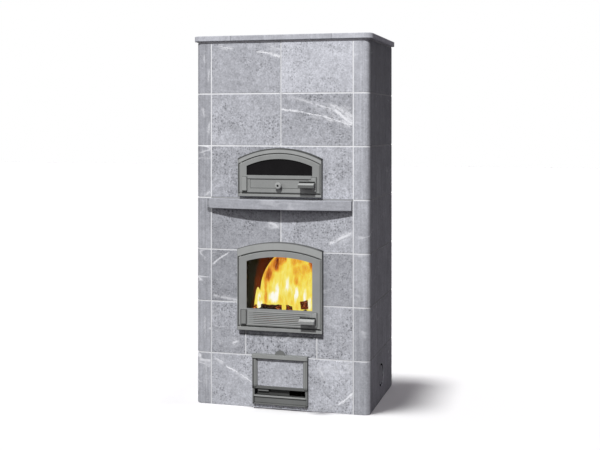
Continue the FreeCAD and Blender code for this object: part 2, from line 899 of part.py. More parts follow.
def build_hearth(low, high, wall_out):
    """The hearth slab with a stepped hole, and the grate that sits in it."""
    middle = (front_in + core_back) / 2
    hearth = Piece("hearth_slab")
    plan = hearth.sketch("XY_Plane", low)
    rectangle(plan, (-wall_out, wall_out), (front_in, core_back))
    hearth.pad(plan, high - low)
    width = S.grate_half_width
    length = S.grate_half_length
    seat = hearth.sketch("XY_Plane", high)
    rectangle(seat, (-width, width), (middle - length, middle + length))
    hearth.pocket(seat, S.grate_seat)
    ledge = S.grate_ledge
    hole = hearth.sketch("XY_Plane", high)
    rectangle(hole, (ledge - width, width - ledge), (middle - length + ledge, middle + length - ledge))
    hearth.pocket(hole)
    node("hearth_slab", hearth.body)

    grate = Piece("grate", ZERO, middle, high - S.grate_seat)
    width = S.grate_half_width - S.grate_play
    length = S.grate_half_length - S.grate_play
    plan = grate.sketch("XY_Plane")
    rectangle(plan, (-width, width), (-length, length))
    grate.pad(plan, S.grate_thickness)
    first = S.grate_slot_pitch * ((S.grate_slot_count - 1) / 2)
    slot = grate.sketch("XY_Plane", S.grate_thickness)
    reach = length - S.grate_border
    rectangle(slot, (-first - S.grate_slot / 2, -first + S.grate_slot / 2), (-reach, reach))
    cut = grate.pocket(slot)
    grate.row([cut], "X_Axis", S.grate_slot_pitch * (S.grate_slot_count - 1), S.grate_slot_count)
    node("grate", grate.body)


def build_door(door):
    """Frame, leaf, glass, seals, hinge, latch and handle of one arched door."""
    name = door.name
    face = S.frame_depth
    floor = S.frame_depth - S.pocket_depth
    leaf_back = S.frame_depth - S.leaf_thickness
    axis = leaf_back + S.leaf_thickness / 2
    pocket_head = door.pocket.height_at(door.hinge)
    leaf_head = door.leaf.height_at(door.hinge)

    frame = Piece(f"{name}_door_frame", ZERO, front)
    outline = frame.sketch("XZ_Plane")
    arch(outline, door.frame)
    frame.pad(outline, face)
    rebate = frame.sketch("XZ_Plane", face)
    arch(rebate, door.pocket)
    frame.pocket(rebate, S.pocket_depth)
    frame.chamfer(S.metal_arris, on_plane("Y", -face))
    mouth = frame.sketch("XZ_Plane", face)
    arch(mouth, door.opening)
    frame.pocket(mouth)
    bores = frame.sketch("XZ_Plane", face)
    for height in door.screws:
        circle(bores, -door.screw_x, height, S.screw_radius + S.screw_play)
        circle(bores, door.screw_x, height, S.screw_radius + S.screw_play)
    frame.pocket(bores)
    low_pin = frame.sketch("XY_Plane", door.pocket.foot)
    circle(low_pin, -door.hinge, -axis, S.hinge_radius + S.hinge_play)
    frame.pocket(low_pin, S.hinge_grip)
    high_pin = frame.sketch("XY_Plane", pocket_head - S.hinge_grip)
    circle(high_pin, -door.hinge, -axis, S.hinge_radius + S.hinge_play)
    frame.pocket(high_pin, S.hinge_grip * 2, True)
    node(f"{name}_door_frame", frame.body)

    for index, height in enumerate(door.screws):
        for sign in (-1, 1):
            place = (door.screw_x * sign, front + S.screw_length, height)
            shank = rod(f"{name}_shank_{index}_{sign + 1}", S.screw_radius, S.screw_length + floor, *place, FORWARD)
            seat = (place[0], front - floor, height)
            head = rod(f"{name}_head_{index}_{sign + 1}", S.screw_head_radius, S.screw_head, *seat, FORWARD)
            SCREWS.append(fuse(f"{name}_screw_{index}_{sign + 1}", shank, head))

    spot = (-door.hinge, front - axis)
    low_length = S.hinge_grip + S.door_gap + S.hinge_reach
    low_rod = rod(f"{name}_pin_low", S.hinge_radius, low_length, *spot, door.pocket.foot - S.hinge_grip, UP)
    collar = rod(f"{name}_collar", S.collar_radius, S.door_gap - S.collar_play, *spot, door.pocket.foot, UP)
    low_whole = fuse(f"{name}_pin_foot", low_rod, collar)
    high_start = leaf_head - S.hinge_reach
    high_length = pocket_head + S.hinge_grip - high_start
    high_rod = rod(f"{name}_pin_high", S.hinge_radius, high_length, *spot, high_start, UP)
    PINS.extend((low_whole, high_rod))

    leaf = Piece(f"{name}_door_leaf", ZERO, front)
    outline = leaf.sketch("XZ_Plane", leaf_back)
    arch(outline, door.leaf)
    leaf.pad(outline, S.leaf_thickness)
    leaf.chamfer(S.leaf_bevel, on_plane("Y", -face))
    window = leaf.sketch("XZ_Plane", face)
    arch(window, door.window)
    leaf.pocket(window)
    seat = leaf.sketch("XZ_Plane", leaf_back)
    arch(seat, door.pane)
    leaf.pocket(seat, S.glass_thickness + S.gasket_thickness, True)
    low_hole = leaf.sketch("XY_Plane", door.leaf.foot)
    circle(low_hole, -door.hinge, -axis, S.hinge_radius + S.hinge_play)
    leaf.pocket(low_hole, S.hinge_reach + S.hinge_end_play, True)
    high_hole = leaf.sketch("XY_Plane", leaf_head + S.hinge_reach)
    circle(high_hole, -door.hinge, -axis, S.hinge_radius + S.hinge_play)
    leaf.pocket(high_hole, S.hinge_reach * 2 + S.hinge_end_play)
    beds = leaf.sketch("XZ_Plane", face)
    for sign in (-1, 1):
        margin = S.plate_margin
        ends = sorted(((door.plate[0] - margin) * sign, (door.plate[1] + margin) * sign), key=number)
        rectangle(beds, ends, (door.plate_low - margin, door.plate_low + S.plate_height + margin))
    leaf.pocket(beds, S.plate_seat)
    latch = leaf.sketch("XZ_Plane", face)
    circle(latch, door.latch_x, door.latch_z, S.spindle_radius + S.spindle_play)
    leaf.pocket(latch)
    if name == "fire":
        dress_fire_leaf(leaf, door, face)
    else:
        dress_oven_leaf(leaf, door, face)
    node(f"{name}_door_leaf", leaf.body)

    pane = door.pane.shrink(S.glass_play)
    glass = Piece(f"{name}_glass", ZERO, front)
    outline = glass.sketch("XZ_Plane", leaf_back)
    arch(outline, pane)
    glass.pad(outline, S.glass_thickness)
    node(f"{name}_glass", glass.body)
    ring(f"{name}_glass_gasket", pane, door.window.shrink(-S.gasket_reveal),
         leaf_back + S.glass_thickness, S.gasket_thickness)
    ring(f"{name}_rope_seal", door.leaf.shrink(S.seal_inset), door.leaf.shrink(S.seal_inset + S.seal_width),
         floor + S.seal_play, leaf_back - floor - S.seal_play)

    clips = []
    edge = door.pane.half
    straight = door.pane.height_at(edge) - door.window.foot
    for index, share in enumerate(CLIP_SHARES):
        middle = door.window.foot + straight * share
        height = (middle - S.clip_height / 2, middle + S.clip_height / 2)
        for sign in (-1, 1):
            ends = sorted(((edge + S.clip_lap) * sign, (edge + S.clip_lap - S.clip_width) * sign), key=number)
            depth = (front - leaf_back, front - leaf_back + S.clip_thickness)
            plate = box(f"{name}_clip_plate_{index}_{sign + 1}", ends, depth, height)
            centre = (edge + S.clip_lap - S.clip_head_radius - S.metal_arris / 2) * sign
            head = rod(f"{name}_clip_head_{index}_{sign + 1}", S.clip_head_radius, S.clip_head + S.clip_thickness,
                       centre, depth[1] + S.clip_head, middle, FORWARD)
            clips.append(fuse(f"{name}_clip_{index}_{sign + 1}", plate, head))
    node(f"{name}_glass_clips", *clips)

    plates = []
    for label, sign in (("hinge", -1), ("latch", 1)):
        plate = Piece(f"{name}_{label}_plate", ZERO, front)
        outline = plate.sketch("XZ_Plane", face - S.plate_seat)
        ends = sorted((door.plate[0] * sign, door.plate[1] * sign), key=number)
        rectangle(outline, ends, (door.plate_low, door.plate_low + S.plate_height))
        plate.pad(outline, S.plate_seat + S.plate_thickness)
        plate.fillet(S.handle_round, on_plane("Y", -(face + S.plate_thickness)))
        if sign > 0:
            mark = plate.sketch("XZ_Plane", face + S.plate_thickness)
            circle(mark, door.latch_x, door.latch_z, S.spindle_radius + S.spindle_play)
            plate.pocket(mark)
        plates.append(plate.body)
    node(f"{name}_corner_plates", *plates)
    build_handle(door, face, floor)


def ring(label, outside, inside, proud, thickness):
    """A flat ring between two arches."""
    piece = Piece(label, ZERO, front)
    outline = piece.sketch("XZ_Plane", proud)
    arch(outline, outside)
    arch(outline, inside)
    piece.pad(outline, thickness)
    node(label, piece.body)


def build_handle(door, face, floor):
    """A lever whose grip slopes forward from a backing strip, on a spindle with a cam behind the leaf."""
    name = door.name
    base = face + S.plate_thickness
    grip = face + S.handle_gap
    nose = grip + S.handle_depth
    handle = Piece(f"{name}_handle", door.latch_x, front, door.latch_z)
    plan = handle.sketch("XY_Plane", -(S.handle_height / 2))
    polygon(plan, [
        (-S.handle_left, -grip),
        (-S.handle_left, -nose),
        (S.handle_right, -nose),
        (S.handle_right, -base),
        (-S.handle_block, -base),
        (-S.handle_block, -grip),
    ])
    handle.pad(plan, S.handle_height)

    crown = S.handle_height / 2
    slope = handle.sketch("YZ_Plane", S.handle_right)
    polygon(slope, [(-nose, crown), (-grip, crown), (-nose, crown - S.handle_slope)])
    handle.pocket(slope)

    def soft(edge):
        bounds = edge.BoundBox
        long_edge = bounds.XMax - bounds.XMin > S.handle_left.value
        under = near(bounds.ZMax, -(S.handle_height / 2)) and near(bounds.YMax, -nose)
        end = near(bounds.XMax, -S.handle_left) and near(bounds.YMax, -nose)
        return (long_edge and under) or end

    handle.fillet(S.handle_round, soft)
    shield = handle.sketch("XZ_Plane", grip)
    rectangle(shield, (-S.handle_left, S.handle_right + S.shield_side), (-crown, crown + S.shield_top))
    handle.pad(shield, S.shield_thickness)
    node(f"{name}_handle", handle.body)

    place = (door.latch_x, front - floor - S.cam_gap, door.latch_z)
    shaft = rod(f"{name}_shaft", S.spindle_radius, base - floor - S.cam_gap, *place, FORWARD)
    cam = box(
        f"{name}_cam",
        (door.latch_x - S.cam_left, door.latch_x + S.cam_right),
        (place[1] - S.cam_thickness, place[1]),
        (door.latch_z - S.cam_half, door.latch_z + S.cam_half),
    )
    node(f"{name}_latch_spindle", fuse(f"{name}_spindle", shaft, cam))


def dress_fire_leaf(leaf, door, face):
    """A recess for the air grille, with a slot behind it."""
    half = door.plate[0] - S.grille_side
    low = door.leaf.foot + S.grille_foot
    high = door.window.foot - S.grille_top
    recess = leaf.sketch("XZ_Plane", face)
    rectangle(recess, (-half, half), (low, high))
    leaf.pocket(recess, S.grille_recess)
    middle = (low + high) / 2
    slot = leaf.sketch("XZ_Plane", face)
    rectangle(slot, (-S.air_slot_half, S.air_slot_half),
              (middle - S.air_slot_height / 2, middle + S.air_slot_height / 2))
    leaf.pocket(slot)

    half = half - S.grille_play
    low = low + S.grille_play
    high = high - S.grille_play
    seat = face - S.grille_recess
    brow = seat + S.grille_plate
    grille = Piece("fire_air_grille", ZERO, front)
    plate = grille.sketch("XZ_Plane", seat)
    rectangle(plate, (-half, half), (low, high))
    grille.pad(plate, S.grille_plate)
    inside = half - S.grille_border
    first = low + S.grille_border
    span = high - low - S.grille_border * 2 - S.rib_height
    pitch = span / (S.rib_count - 1)
    rib = grille.sketch("XZ_Plane", brow)
    rectangle(rib, (-inside, inside), (first, first + S.rib_height))
    bar = grille.pad(rib, S.rib_depth)
    doc.recompute()
    grille.row([bar], "Z_Axis", span, S.rib_count)
    gap = first + S.rib_height + (pitch - S.rib_height) / 2
    slit = grille.sketch("XZ_Plane", brow)
    rectangle(slit, (-S.air_slot_half, S.air_slot_half), (gap - S.rib_slit / 2, gap + S.rib_slit / 2))
    cut = grille.pocket(slit)
    grille.row([cut], "Z_Axis", span - pitch, S.rib_count - 1)
    node("fire_air_grille", grille.body)


def dress_oven_leaf(leaf, door, face):
    """A raised bar under the window, a shallow panel and the turning vent knob."""
    bar = leaf.sketch("XZ_Plane", face)
    reach = door.plate[0] - S.plate_margin - S.bar_gap
    rectangle(bar, (-reach, reach), (door.window.foot - S.bar_height, door.window.foot))
    leaf.pad(bar, S.bar_depth)
    low = door.leaf.foot + S.panel_foot
    panel = leaf.sketch("XZ_Plane", face)
    high = door.window.foot - S.panel_top
    line = S.panel_groove
    rectangle(panel, (-S.panel_half, S.panel_half), (low, high))
    rectangle(panel, (line - S.panel_half, S.panel_half - line), (low + line, high - line))
    leaf.pocket(panel, S.panel_groove_depth)
    height = door.leaf.foot + S.vent_rise
    hole = leaf.sketch("XZ_Plane", face)
    circle(hole, ZERO, height, S.spindle_radius + S.spindle_play)
    leaf.pocket(hole)

    leaf_back = face - S.leaf_thickness
    start = leaf_back - S.vent_disc_gap - S.vent_disc
    seat = face + S.stem_gap
    neck = seat + S.stem_length
    crown = neck + S.knob_length
    knob = Piece("oven_vent_knob", ZERO, front, height)
    profile = knob.sketch("XY_Plane")
    polygon(profile, [
        (ZERO, -start),
        (S.spindle_radius, -start),
        (S.spindle_radius, -seat),
        (S.stem_radius, -seat),
        (S.stem_radius, -neck),
        (S.knob_radius, -neck),
        (S.knob_radius, -(crown - S.knob_dome)),
        (S.knob_radius - S.knob_dome, -crown),
        (S.knob_dish, -crown),
        (S.knob_dish, -(crown - S.knob_dish_depth)),
        (ZERO, -(crown - S.knob_dish_depth)),
    ])
    knob.turn(profile, "V_Axis")
    node("oven_vent_knob", knob.body)
    disc = Piece("oven_vent_disc", ZERO, front)
    plan = disc.sketch("XZ_Plane", start)
    circle(plan, ZERO, height, S.vent_disc_radius)
    circle(plan, ZERO, height, S.spindle_radius)
    disc.pad(plan, S.vent_disc)
    node("oven_vent_disc", disc.body)


def build_ash():
    """The ash drawer with its stone-faced front, the plinth frame and the air slide."""
    high = S.course_height + S.ash_lap
    nose = S.ash_gap + S.ash_depth
    panel = Piece("ash_front", ZERO, front)
    plate = panel.sketch("XZ_Plane", S.ash_gap)
    rectangle(plate, (-S.ash_half, S.ash_half), (S.ash_low, high))
    panel.pad(plate, S.ash_depth)
    half = S.ash_half - S.ash_stile
    opening = (S.ash_low + S.ash_foot, high - S.ash_head)
    seat = panel.sketch("XZ_Plane", nose)
    rectangle(seat, (-half, half), opening)
    panel.pocket(seat, S.ash_stone_seat)

    def mouth(edge):
        bounds = edge.BoundBox
        inside = bounds.XMin > -half.value - UPRIGHT and bounds.XMax < half.value + UPRIGHT
        return on_plane("Y", -nose)(edge) and inside

    splay = panel.chamfer(S.ash_slope, mouth)
    splay.ChamferType = "Two distances"
    bind(splay, "Size2", S.ash_slope_depth)
    bar = panel.sketch("XZ_Plane", nose)
    rectangle(bar, (-S.ash_half, S.ash_half), (high - S.ash_bar_height, high))
    panel.pad(bar, S.ash_bar_depth)
    panel.chamfer(S.metal_arris, on_plane("Y", -(nose + S.ash_bar_depth)))
    node("ash_front", panel.body)

    facing = Piece("ash_front_stone", ZERO, front)
    play = S.ash_stone_play
    slab = facing.sketch("XZ_Plane", nose - S.ash_stone_seat)
    rectangle(slab, (play - half, half - play), (opening[0] + play, opening[1] - play))
    facing.pad(slab, S.ash_stone_seat - S.ash_stone_recess)
    facing.chamfer(S.stone_arris, on_plane("Y", S.ash_stone_recess - nose))
    node("ash_front_stone", facing.body)

    tab = Piece("ash_pull_tab", ZERO, front, high)
    face = tab.sketch("XZ_Plane", S.tab_reach)
    half_disc(face, S.tab_half, S.tab_height)
    tab.pad(face, S.tab_thickness)
    node("ash_pull_tab", tab.body)

    pan_low = S.rail_low + S.rail_height + S.pan_lift
    pan_end = core_back - S.core_wall - S.pan_end_gap
    pan = Piece("ash_pan")
    plan = pan.sketch("XY_Plane", pan_low)
    rectangle(plan, (-S.pan_half, S.pan_half), (front - S.ash_gap, pan_end))
    pan.pad(plan, S.pan_height)
    hollow = pan.sketch("XY_Plane", pan_low + S.pan_height)
    wall = S.pan_wall
    rectangle(hollow, (wall - S.pan_half, S.pan_half - wall), (front - S.ash_gap + wall, pan_end - wall))
    pan.pocket(hollow, S.pan_height - wall)
    node("ash_pan", pan.body)
    rail_y = (front_in + S.rail_front_gap, core_back - S.core_wall - S.rail_end_gap)
    rail_z = (S.rail_low, S.rail_low + S.rail_height)
    node(
        "drawer_rails",
        box("rail_left", (-S.pit_half, S.rail_width - S.pit_half), rail_y, rail_z),
        box("rail_right", (S.pit_half - S.rail_width, S.pit_half), rail_y, rail_z),
    )
    build_plinth()


def half_disc(sketch, half, height):
    """A rounded tab above the horizontal axis: a straight foot and one arc over it."""
    radius = (half * half + height * height) / (height * 2)
    drop = radius - height
    start = math.atan2(drop.value, half.value)
    centre = Vector(0, -drop.value, 0)
    sketch.addGeometry(Part.LineSegment(Vector(-half.value, 0, 0), Vector(half.value, 0, 0)))
    sketch.addGeometry(Part.ArcOfCircle(Part.Circle(centre, Vector(0, 0, 1), radius.value), start, math.pi - start))
    sketch.addConstraint(Sketcher.Constraint("Coincident", 0, 2, 1, 1))
    sketch.addConstraint(Sketcher.Constraint("Coincident", 1, 2, 0, 1))
    locate(sketch, 0, 1, -half, ZERO)
    locate(sketch, 0, 2, half, ZERO)
    measure(sketch, Sketcher.Constraint("Radius", 1, radius.value), radius)


def build_plinth():
    """The plinth frame under the drawer, its air slot, and the slide that covers part of it."""
    half = S.ash_half
    plinth = Piece("plinth_frame", ZERO, front)
    face = plinth.sketch("XZ_Plane")
    polygon(face, [
        (-half, S.plinth_low),
        (half, S.plinth_low),
        (half, S.plinth_high),
        (S.slot_half, S.plinth_high),
        (S.slot_half, S.slot_low),
        (-S.slot_half, S.slot_low),
        (-S.slot_half, S.plinth_high),
        (-half, S.plinth_high),
    ])
    plinth.pad(face, S.plinth_depth)
    recess = plinth.sketch("XZ_Plane", S.plinth_depth)
    border = S.plinth_border
    rectangle(recess, (border - half, half - border), (S.plinth_low + border, S.slot_low - S.lip_height))
    plinth.pocket(recess, S.plinth_recess)
    plinth.chamfer(S.metal_arris, on_plane("Y", -S.plinth_depth))
    node("plinth_frame", plinth.body)

    behind = front + S.slide_gap
    plate = box("slide_plate", (-S.slide_left, S.slide_right), (behind, behind + S.slide_thickness),
                (S.slide_low, S.slide_high))
    tab = box("slide_tab", (-S.slide_tab_left, -S.slide_tab_right), (front - S.slide_tab_reach, behind),
              (S.slide_high - S.slide_tab_height, S.slide_high))
    node("air_slide", fuse("slide", plate, tab))
    keep = behind + S.slide_thickness + S.slide_play
    ledge = S.slide_low - S.slide_play
    shelf = box("guide_ledge", (-S.guide_half, S.guide_half), (front, keep + S.guide_wall),
                (ledge - S.guide_height, ledge))
    lip = box("guide_lip", (-S.guide_half, S.guide_half), (keep, keep + S.guide_wall), (ledge, ledge + S.guide_lip))
    node("air_slide_guide", fuse("guide", shelf, lip))


build_shell()
build_plugs()
build_flue()
build_core()
build_door(FIRE)
build_door(OVEN)
node("frame_screws", *SCREWS)
node("hinge_pins", *PINS)
build_ash()
doc.recompute()

for item in doc.Objects:
    if "Invalid" in item.State or "Error" in item.State:
        raise RuntimeError(f"{item.Name} is {item.State}")
os.makedirs("parts", exist_ok=True)
for label, item in NODES.items():
    shape = item.Shape
    if shape.isNull() or not shape.isValid():
        raise RuntimeError(f"{label} has no valid shape")
    shape.exportStep(f"parts/{label}.step")
print(len(NODES), "nodes written")
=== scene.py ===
"""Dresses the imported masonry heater: sawn stone, painted doors, glass, a lit fire and a plain studio."""

import logging
import math
import random
from dataclasses import dataclass
from enum import Enum
from typing import Callable, Mapping, Optional, Sequence, Union

import bmesh
import bpy
from mathutils import Matrix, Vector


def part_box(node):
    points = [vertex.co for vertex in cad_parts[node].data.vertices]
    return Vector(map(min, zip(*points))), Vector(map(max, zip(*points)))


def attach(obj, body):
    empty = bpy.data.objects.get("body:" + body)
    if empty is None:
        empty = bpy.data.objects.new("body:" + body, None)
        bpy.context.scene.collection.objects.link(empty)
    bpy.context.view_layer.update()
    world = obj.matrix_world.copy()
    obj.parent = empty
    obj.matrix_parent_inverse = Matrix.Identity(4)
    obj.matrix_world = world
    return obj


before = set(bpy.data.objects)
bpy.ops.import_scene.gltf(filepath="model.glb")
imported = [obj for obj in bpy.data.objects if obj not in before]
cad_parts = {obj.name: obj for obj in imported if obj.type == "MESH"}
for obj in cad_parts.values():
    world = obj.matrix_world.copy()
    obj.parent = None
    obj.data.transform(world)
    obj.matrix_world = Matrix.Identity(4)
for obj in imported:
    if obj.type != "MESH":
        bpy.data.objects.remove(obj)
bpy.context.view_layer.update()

log = logging.getLogger("masonry_heater")
Socket = bpy.types.NodeSocket
Number = Union[float, Socket]
Triple = tuple[float, float, float]
Pair = tuple[float, float]
Value = Union[Number, Sequence[float]]
Key = Union[str, int]
Shape = Union[bmesh.types.BMFace, bmesh.types.BMEdge]

# Numbers of the Mix node's sockets for colours: two inputs and the output.
MIX_FIRST = 6
MIX_SECOND = 7
MIX_COLOUR = 2
# A fleck is full up to the first share of its radius; cells pass from empty to full over the second.
FLECK_CORE = 0.1
FLECK_EASE = 0.3
# Corners nearer than this, in metres, are one corner.
SAME_POINT = 0.00005


class Sum(Enum):
    """Sums that a finish works out from place to place."""

    ADD = "ADD"
    TAKE = "SUBTRACT"
    TIMES = "MULTIPLY"
    SIZE = "ABSOLUTE"
    MORE = "GREATER_THAN"
    LESS = "LESS_THAN"
    FLOOR = "FLOOR"
    TOP = "MAXIMUM"
    POWER = "POWER"


class Reach(Enum):
    """What a lamp lights."""

    HEATER = "EXCLUDE"
    FLOOR = "INCLUDE"


class Element(Enum):
    """What a selection is made of."""

    FACE = "faces"
    EDGE = "edges"


class Tool(Enum):
    """Modifiers that finish a piece."""

    BEVEL = "BEVEL"
    SUBDIVISION = "SUBSURF"


class NodeTree:
    """The nodes of a finish or of the surroundings, built step by step."""

    def __init__(self, owner: Union[bpy.types.Material, bpy.types.World]) -> None:
        """Starts with no nodes.

        Args:
            owner: What the nodes belong to.
        """
        owner.use_nodes = True
        self.nodes = owner.node_tree.nodes
        self.links = owner.node_tree.links
        self.nodes.clear()

    def feed(self, target: Socket, value: Value) -> None:
        """Links a socket, or writes a plain value on it.

        Args:
            target: Input to fill.
            value: A socket to link, or the value itself.
        """
        if isinstance(value, Socket):
            self.links.new(value, target)
        else:
            target.default_value = value

    def node(self, kind: str, inputs: Optional[Mapping[Key, Value]] = None,
             **settings: str) -> bpy.types.Node:
        """Adds a node.

        Args:
            kind: Its type, without the word ShaderNode before it.
            inputs: Names or numbers of its inputs, and what fills them.
            settings: Its settings.

        Returns:
            The node.
        """
        node = self.nodes.new(f"ShaderNode{kind}")
        for key, setting in settings.items():
            setattr(node, key, setting)
        for key, value in (inputs or {}).items():
            self.feed(node.inputs[key], value)
        return node

    def work(self, kind: Sum, first: Number, *others: Number) -> Socket:
        """Works out a sum, value after value.

        Args:
            kind: Which sum.
            first: The first value.
            others: The rest, or none for a sum of one value.

        Returns:
            The result.
        """
        result = first
        for other in others or (1.0,):
            result = self.node("Math", {0: result, 1: other}, operation=kind.value).outputs[0]
        return result

    def times(self, *values: Number) -> Socket:
        """Multiplies values one after another."""
        return self.work(Sum.TIMES, *values)

    def blended(self, factor: Number, low: Union[Triple, Socket], high: Union[Triple, Socket]) -> Socket:
        """Goes from one colour to another.

        Args:
            factor: Zero is the first colour, one the second.
            low: The first colour.
            high: The second colour.

        Returns:
            The colour.
        """
        inputs: dict[Key, Value] = {0: factor}
        for key, colour in ((MIX_FIRST, low), (MIX_SECOND, high)):
            inputs[key] = colour if isinstance(colour, Socket) else (*colour, 1)
        return self.node("Mix", inputs, data_type="RGBA").outputs[MIX_COLOUR]

    def seen(self) -> Socket:
        """Tells what is looked at from what only throws light.

        Returns:
            One where the camera looks, straight, mirrored or through glass.
        """
        path = self.node("LightPath")
        rays = ("Is Camera Ray", "Is Glossy Ray", "Is Transmission Ray")
        return self.work(Sum.TOP, *(path.outputs[ray] for ray in rays))


class Recipe(NodeTree):
    """The nodes of one finish, on the Object coordinates."""

    def __init__(self, name: str) -> None:
        """Starts a material with its shader, output and coordinates.

        Args:
            name: Name of the finish.
        """
        self.material = bpy.data.materials.new(name)
        super().__init__(self.material)
        self.shader = self.node("BsdfPrincipled")
        self.node("OutputMaterial", {"Surface": self.shader.outputs["BSDF"]})
        self.place = self.node("TexCoord").outputs["Object"]
        self.across, self.deep, self.up = self.parts(self.place)

    def parts(self, source: Socket) -> tuple[Socket, ...]:
        """Takes a place or a colour apart into its three numbers."""
        return tuple(self.node("SeparateXYZ", {0: source}).outputs)

    def within(self, low: Triple, high: Triple) -> Number:
        """Marks the inside of an upright box.

        Args:
            low: Its least corner.
            high: Its greatest corner.

        Returns:
            One inside, zero outside.
        """
        mask: Number = 1.0
        for value, start, end in zip((self.across, self.deep, self.up), low, high):
            band = self.times(self.work(Sum.MORE, value, start), self.work(Sum.LESS, value, end))
            mask = self.times(band, mask)
        return mask

    def moved(self, scale: Triple = (1, 1, 1), turn: Triple = (0, 0, 0), shift: Triple = (0, 0, 0),
              source: Optional[Socket] = None) -> Socket:
        """Stretches, turns and shifts a place before a pattern reads it.

        Args:
            scale: Stretch along each axis.
            turn: Turn about each axis in degrees.
            shift: Shift along each axis.
            source: The place, or the surface's own.

        Returns:
            The new place.
        """
        angles = [math.radians(angle) for angle in turn]
        inputs = {"Vector": source or self.place, "Location": shift, "Rotation": angles, "Scale": scale}
        return self.node("Mapping", inputs).outputs["Vector"]

    def noise(self, scale: float, detail: float, rough: float = 0.5,
              source: Optional[Socket] = None) -> Socket:
        """A cloudy pattern.

        Args:
            scale: Patches in a metre.
            detail: Finer layers.
            rough: Weight of the finer layers.
            source: The place, or the surface's own.

        Returns:
            A value round one half.
        """
        inputs = {"Vector": source or self.place, "Scale": scale, "Detail": detail, "Roughness": rough}
        return self.node("TexNoise", inputs).outputs["Fac"]

    def flecks(self, scale: float, size: float, share: float, source: Optional[Socket] = None) -> Socket:
        """Small round flecks in some cells of a scattered pattern.

        Args:
            scale: Cells in a metre.
            size: Radius of a fleck as a share of a cell.
            share: Share of the cells that stay empty.
            source: The place, or the surface's own.

        Returns:
            One on a fleck, falling to zero round it.
        """
        cells = self.node("TexVoronoi", {"Vector": source or self.place, "Scale": scale})
        spot = self.fit(cells.outputs["Distance"], (size * FLECK_CORE, size), (1, 0))
        chance = self.parts(cells.outputs["Color"])[0]
        chosen = self.fit(chance, (share, min(share + FLECK_EASE, 1.0)), (0, 1))
        return self.times(spot, chosen)

    def fit(self, value: Number, was: Pair, becomes: Pair, smooth: bool = True) -> Socket:
        """Carries a value from one range to another and stops at its ends.

        Args:
            value: The value.
            was: Range it comes from.
            becomes: Range it goes to.
            smooth: Whether it eases at the ends.

        Returns:
            The new value.
        """
        inputs = {"Value": value, "From Min": was[0], "From Max": was[1]}
        inputs.update({"To Min": becomes[0], "To Max": becomes[1]})
        pace = "SMOOTHSTEP" if smooth else "LINEAR"
        return self.node("MapRange", inputs, interpolation_type=pace).outputs["Result"]

    def even(self, value: Number, was: Pair, becomes: Pair) -> Socket:
        """Carries a value from one range to another at an even pace."""
        return self.fit(value, was, becomes, smooth=False)

    def mixed(self, *layers: tuple[Socket, Pair, Pair]) -> Socket:
        """Multiplies patterns, each carried from its range to another at an even pace."""
        return self.times(*(self.even(*layer) for layer in layers))

    def scaled(self, colour: Triple, factor: Socket) -> Socket:
        """A colour made lighter or darker from place to place; a factor of one leaves it as it is."""
        return self.node("VectorMath", {0: colour, "Scale": factor}, operation="SCALE").outputs[0]

    def ramp(self, factor: Socket, stops: Sequence[tuple[float, Triple]]) -> Socket:
        """Reads a colour off a row of stops.

        Args:
            factor: Place on the row, from zero to one.
            stops: Places and their colours, in order.

        Returns:
            The colour.
        """
        node = self.node("ValToRGB", {"Fac": factor})
        band = node.color_ramp
        while len(band.elements) < len(stops):
            band.elements.new(1.0)
        for element, (position, colour) in zip(band.elements, stops):
            element.position = position
            element.color = (*colour, 1)
        return node.outputs["Color"]

    def relief(self, height: Socket, depth: float, strength: float) -> None:
        """Raises the surface a little where a pattern is high.

        Args:
            height: The pattern.
            depth: Height in metres where the pattern is one.
            strength: How much of it shows.
        """
        bump = self.node("Bump", {"Height": height, "Distance": depth, "Strength": strength})
        self.set("Normal", bump.outputs["Normal"])

    def set(self, socket: str, value: Value) -> None:
        """Fills one input of the shader.

        Args:
            socket: Name of the input.
            value: A socket or a plain value.
        """
        if isinstance(value, tuple):
            value = (*value, 1)
        self.feed(self.shader.inputs[socket], value)

    def surface(self, colour: Union[Triple, Socket], rough: Number, shine: float) -> None:
        """Fills the inputs that most finishes share.

        Args:
            colour: The colour.
            rough: How dull the surface is, from zero to one.
            shine: How strongly it mirrors.
        """
        self.set("Base Color", colour)
        self.set("Roughness", rough)
        self.set("Specular IOR Level", shine)


@dataclass(frozen=True)
class Finish:
    """How a surface looks."""

    name: str

    def fill(self, recipe: Recipe) -> None:
        """Lays out the look, which each kind of finish does in its own way.

        Args:
            recipe: The finish being built.
        """
        raise NotImplementedError

    def make(self) -> bpy.types.Material:
        """Builds the finish.

        Returns:
            The material.
        """
        recipe = Recipe(self.name)
        self.fill(recipe)
        return recipe.material


@dataclass(frozen=True)
class Zone:
    """A box on a piece where its finish is darker or lighter: painted shade in grooves and recesses, painted
    shadows, painted light, and soot at the fire and oven openings.

    It may fade in from its foot, over the height that the fade gives.
    """

    low: Triple
    high: Triple
    tone: float
    fade: float = 0.0

    def shade(self, recipe: Recipe, shade: Number) -> Socket:
        """Scales a shade inside the box.

        Args:
            recipe: The finish being built.
            shade: Its shade so far.

        Returns:
            The new shade.
        """
        inside = recipe.within(self.low, self.high)
        if self.fade:
            foot = self.low[2]
            inside = recipe.times(inside, recipe.fit(recipe.up, (foot, foot + self.fade), (0, 1)))
        return recipe.times(shade, recipe.even(inside, (0, 1), (1, self.tone)))

    def mirrored(self) -> "Zone":
        """The same box on the other side of the heater."""
        return Zone((-self.high[0], *self.low[1:]), (-self.low[0], *self.high[1:]), self.tone, self.fade)


@dataclass(frozen=True)
class Vein:
    """A pale vein on the front of a stone, by the X and Z of its ends in metres.

    The feather is how far its streaks spread, the fade how far it thins out at each end.
    """

    start: Pair
    end: Pair
    width: float = 0.006
    strength: float = 0.9
    feather: float = 0.0
    fade: Pair = (0.02, 0.02)


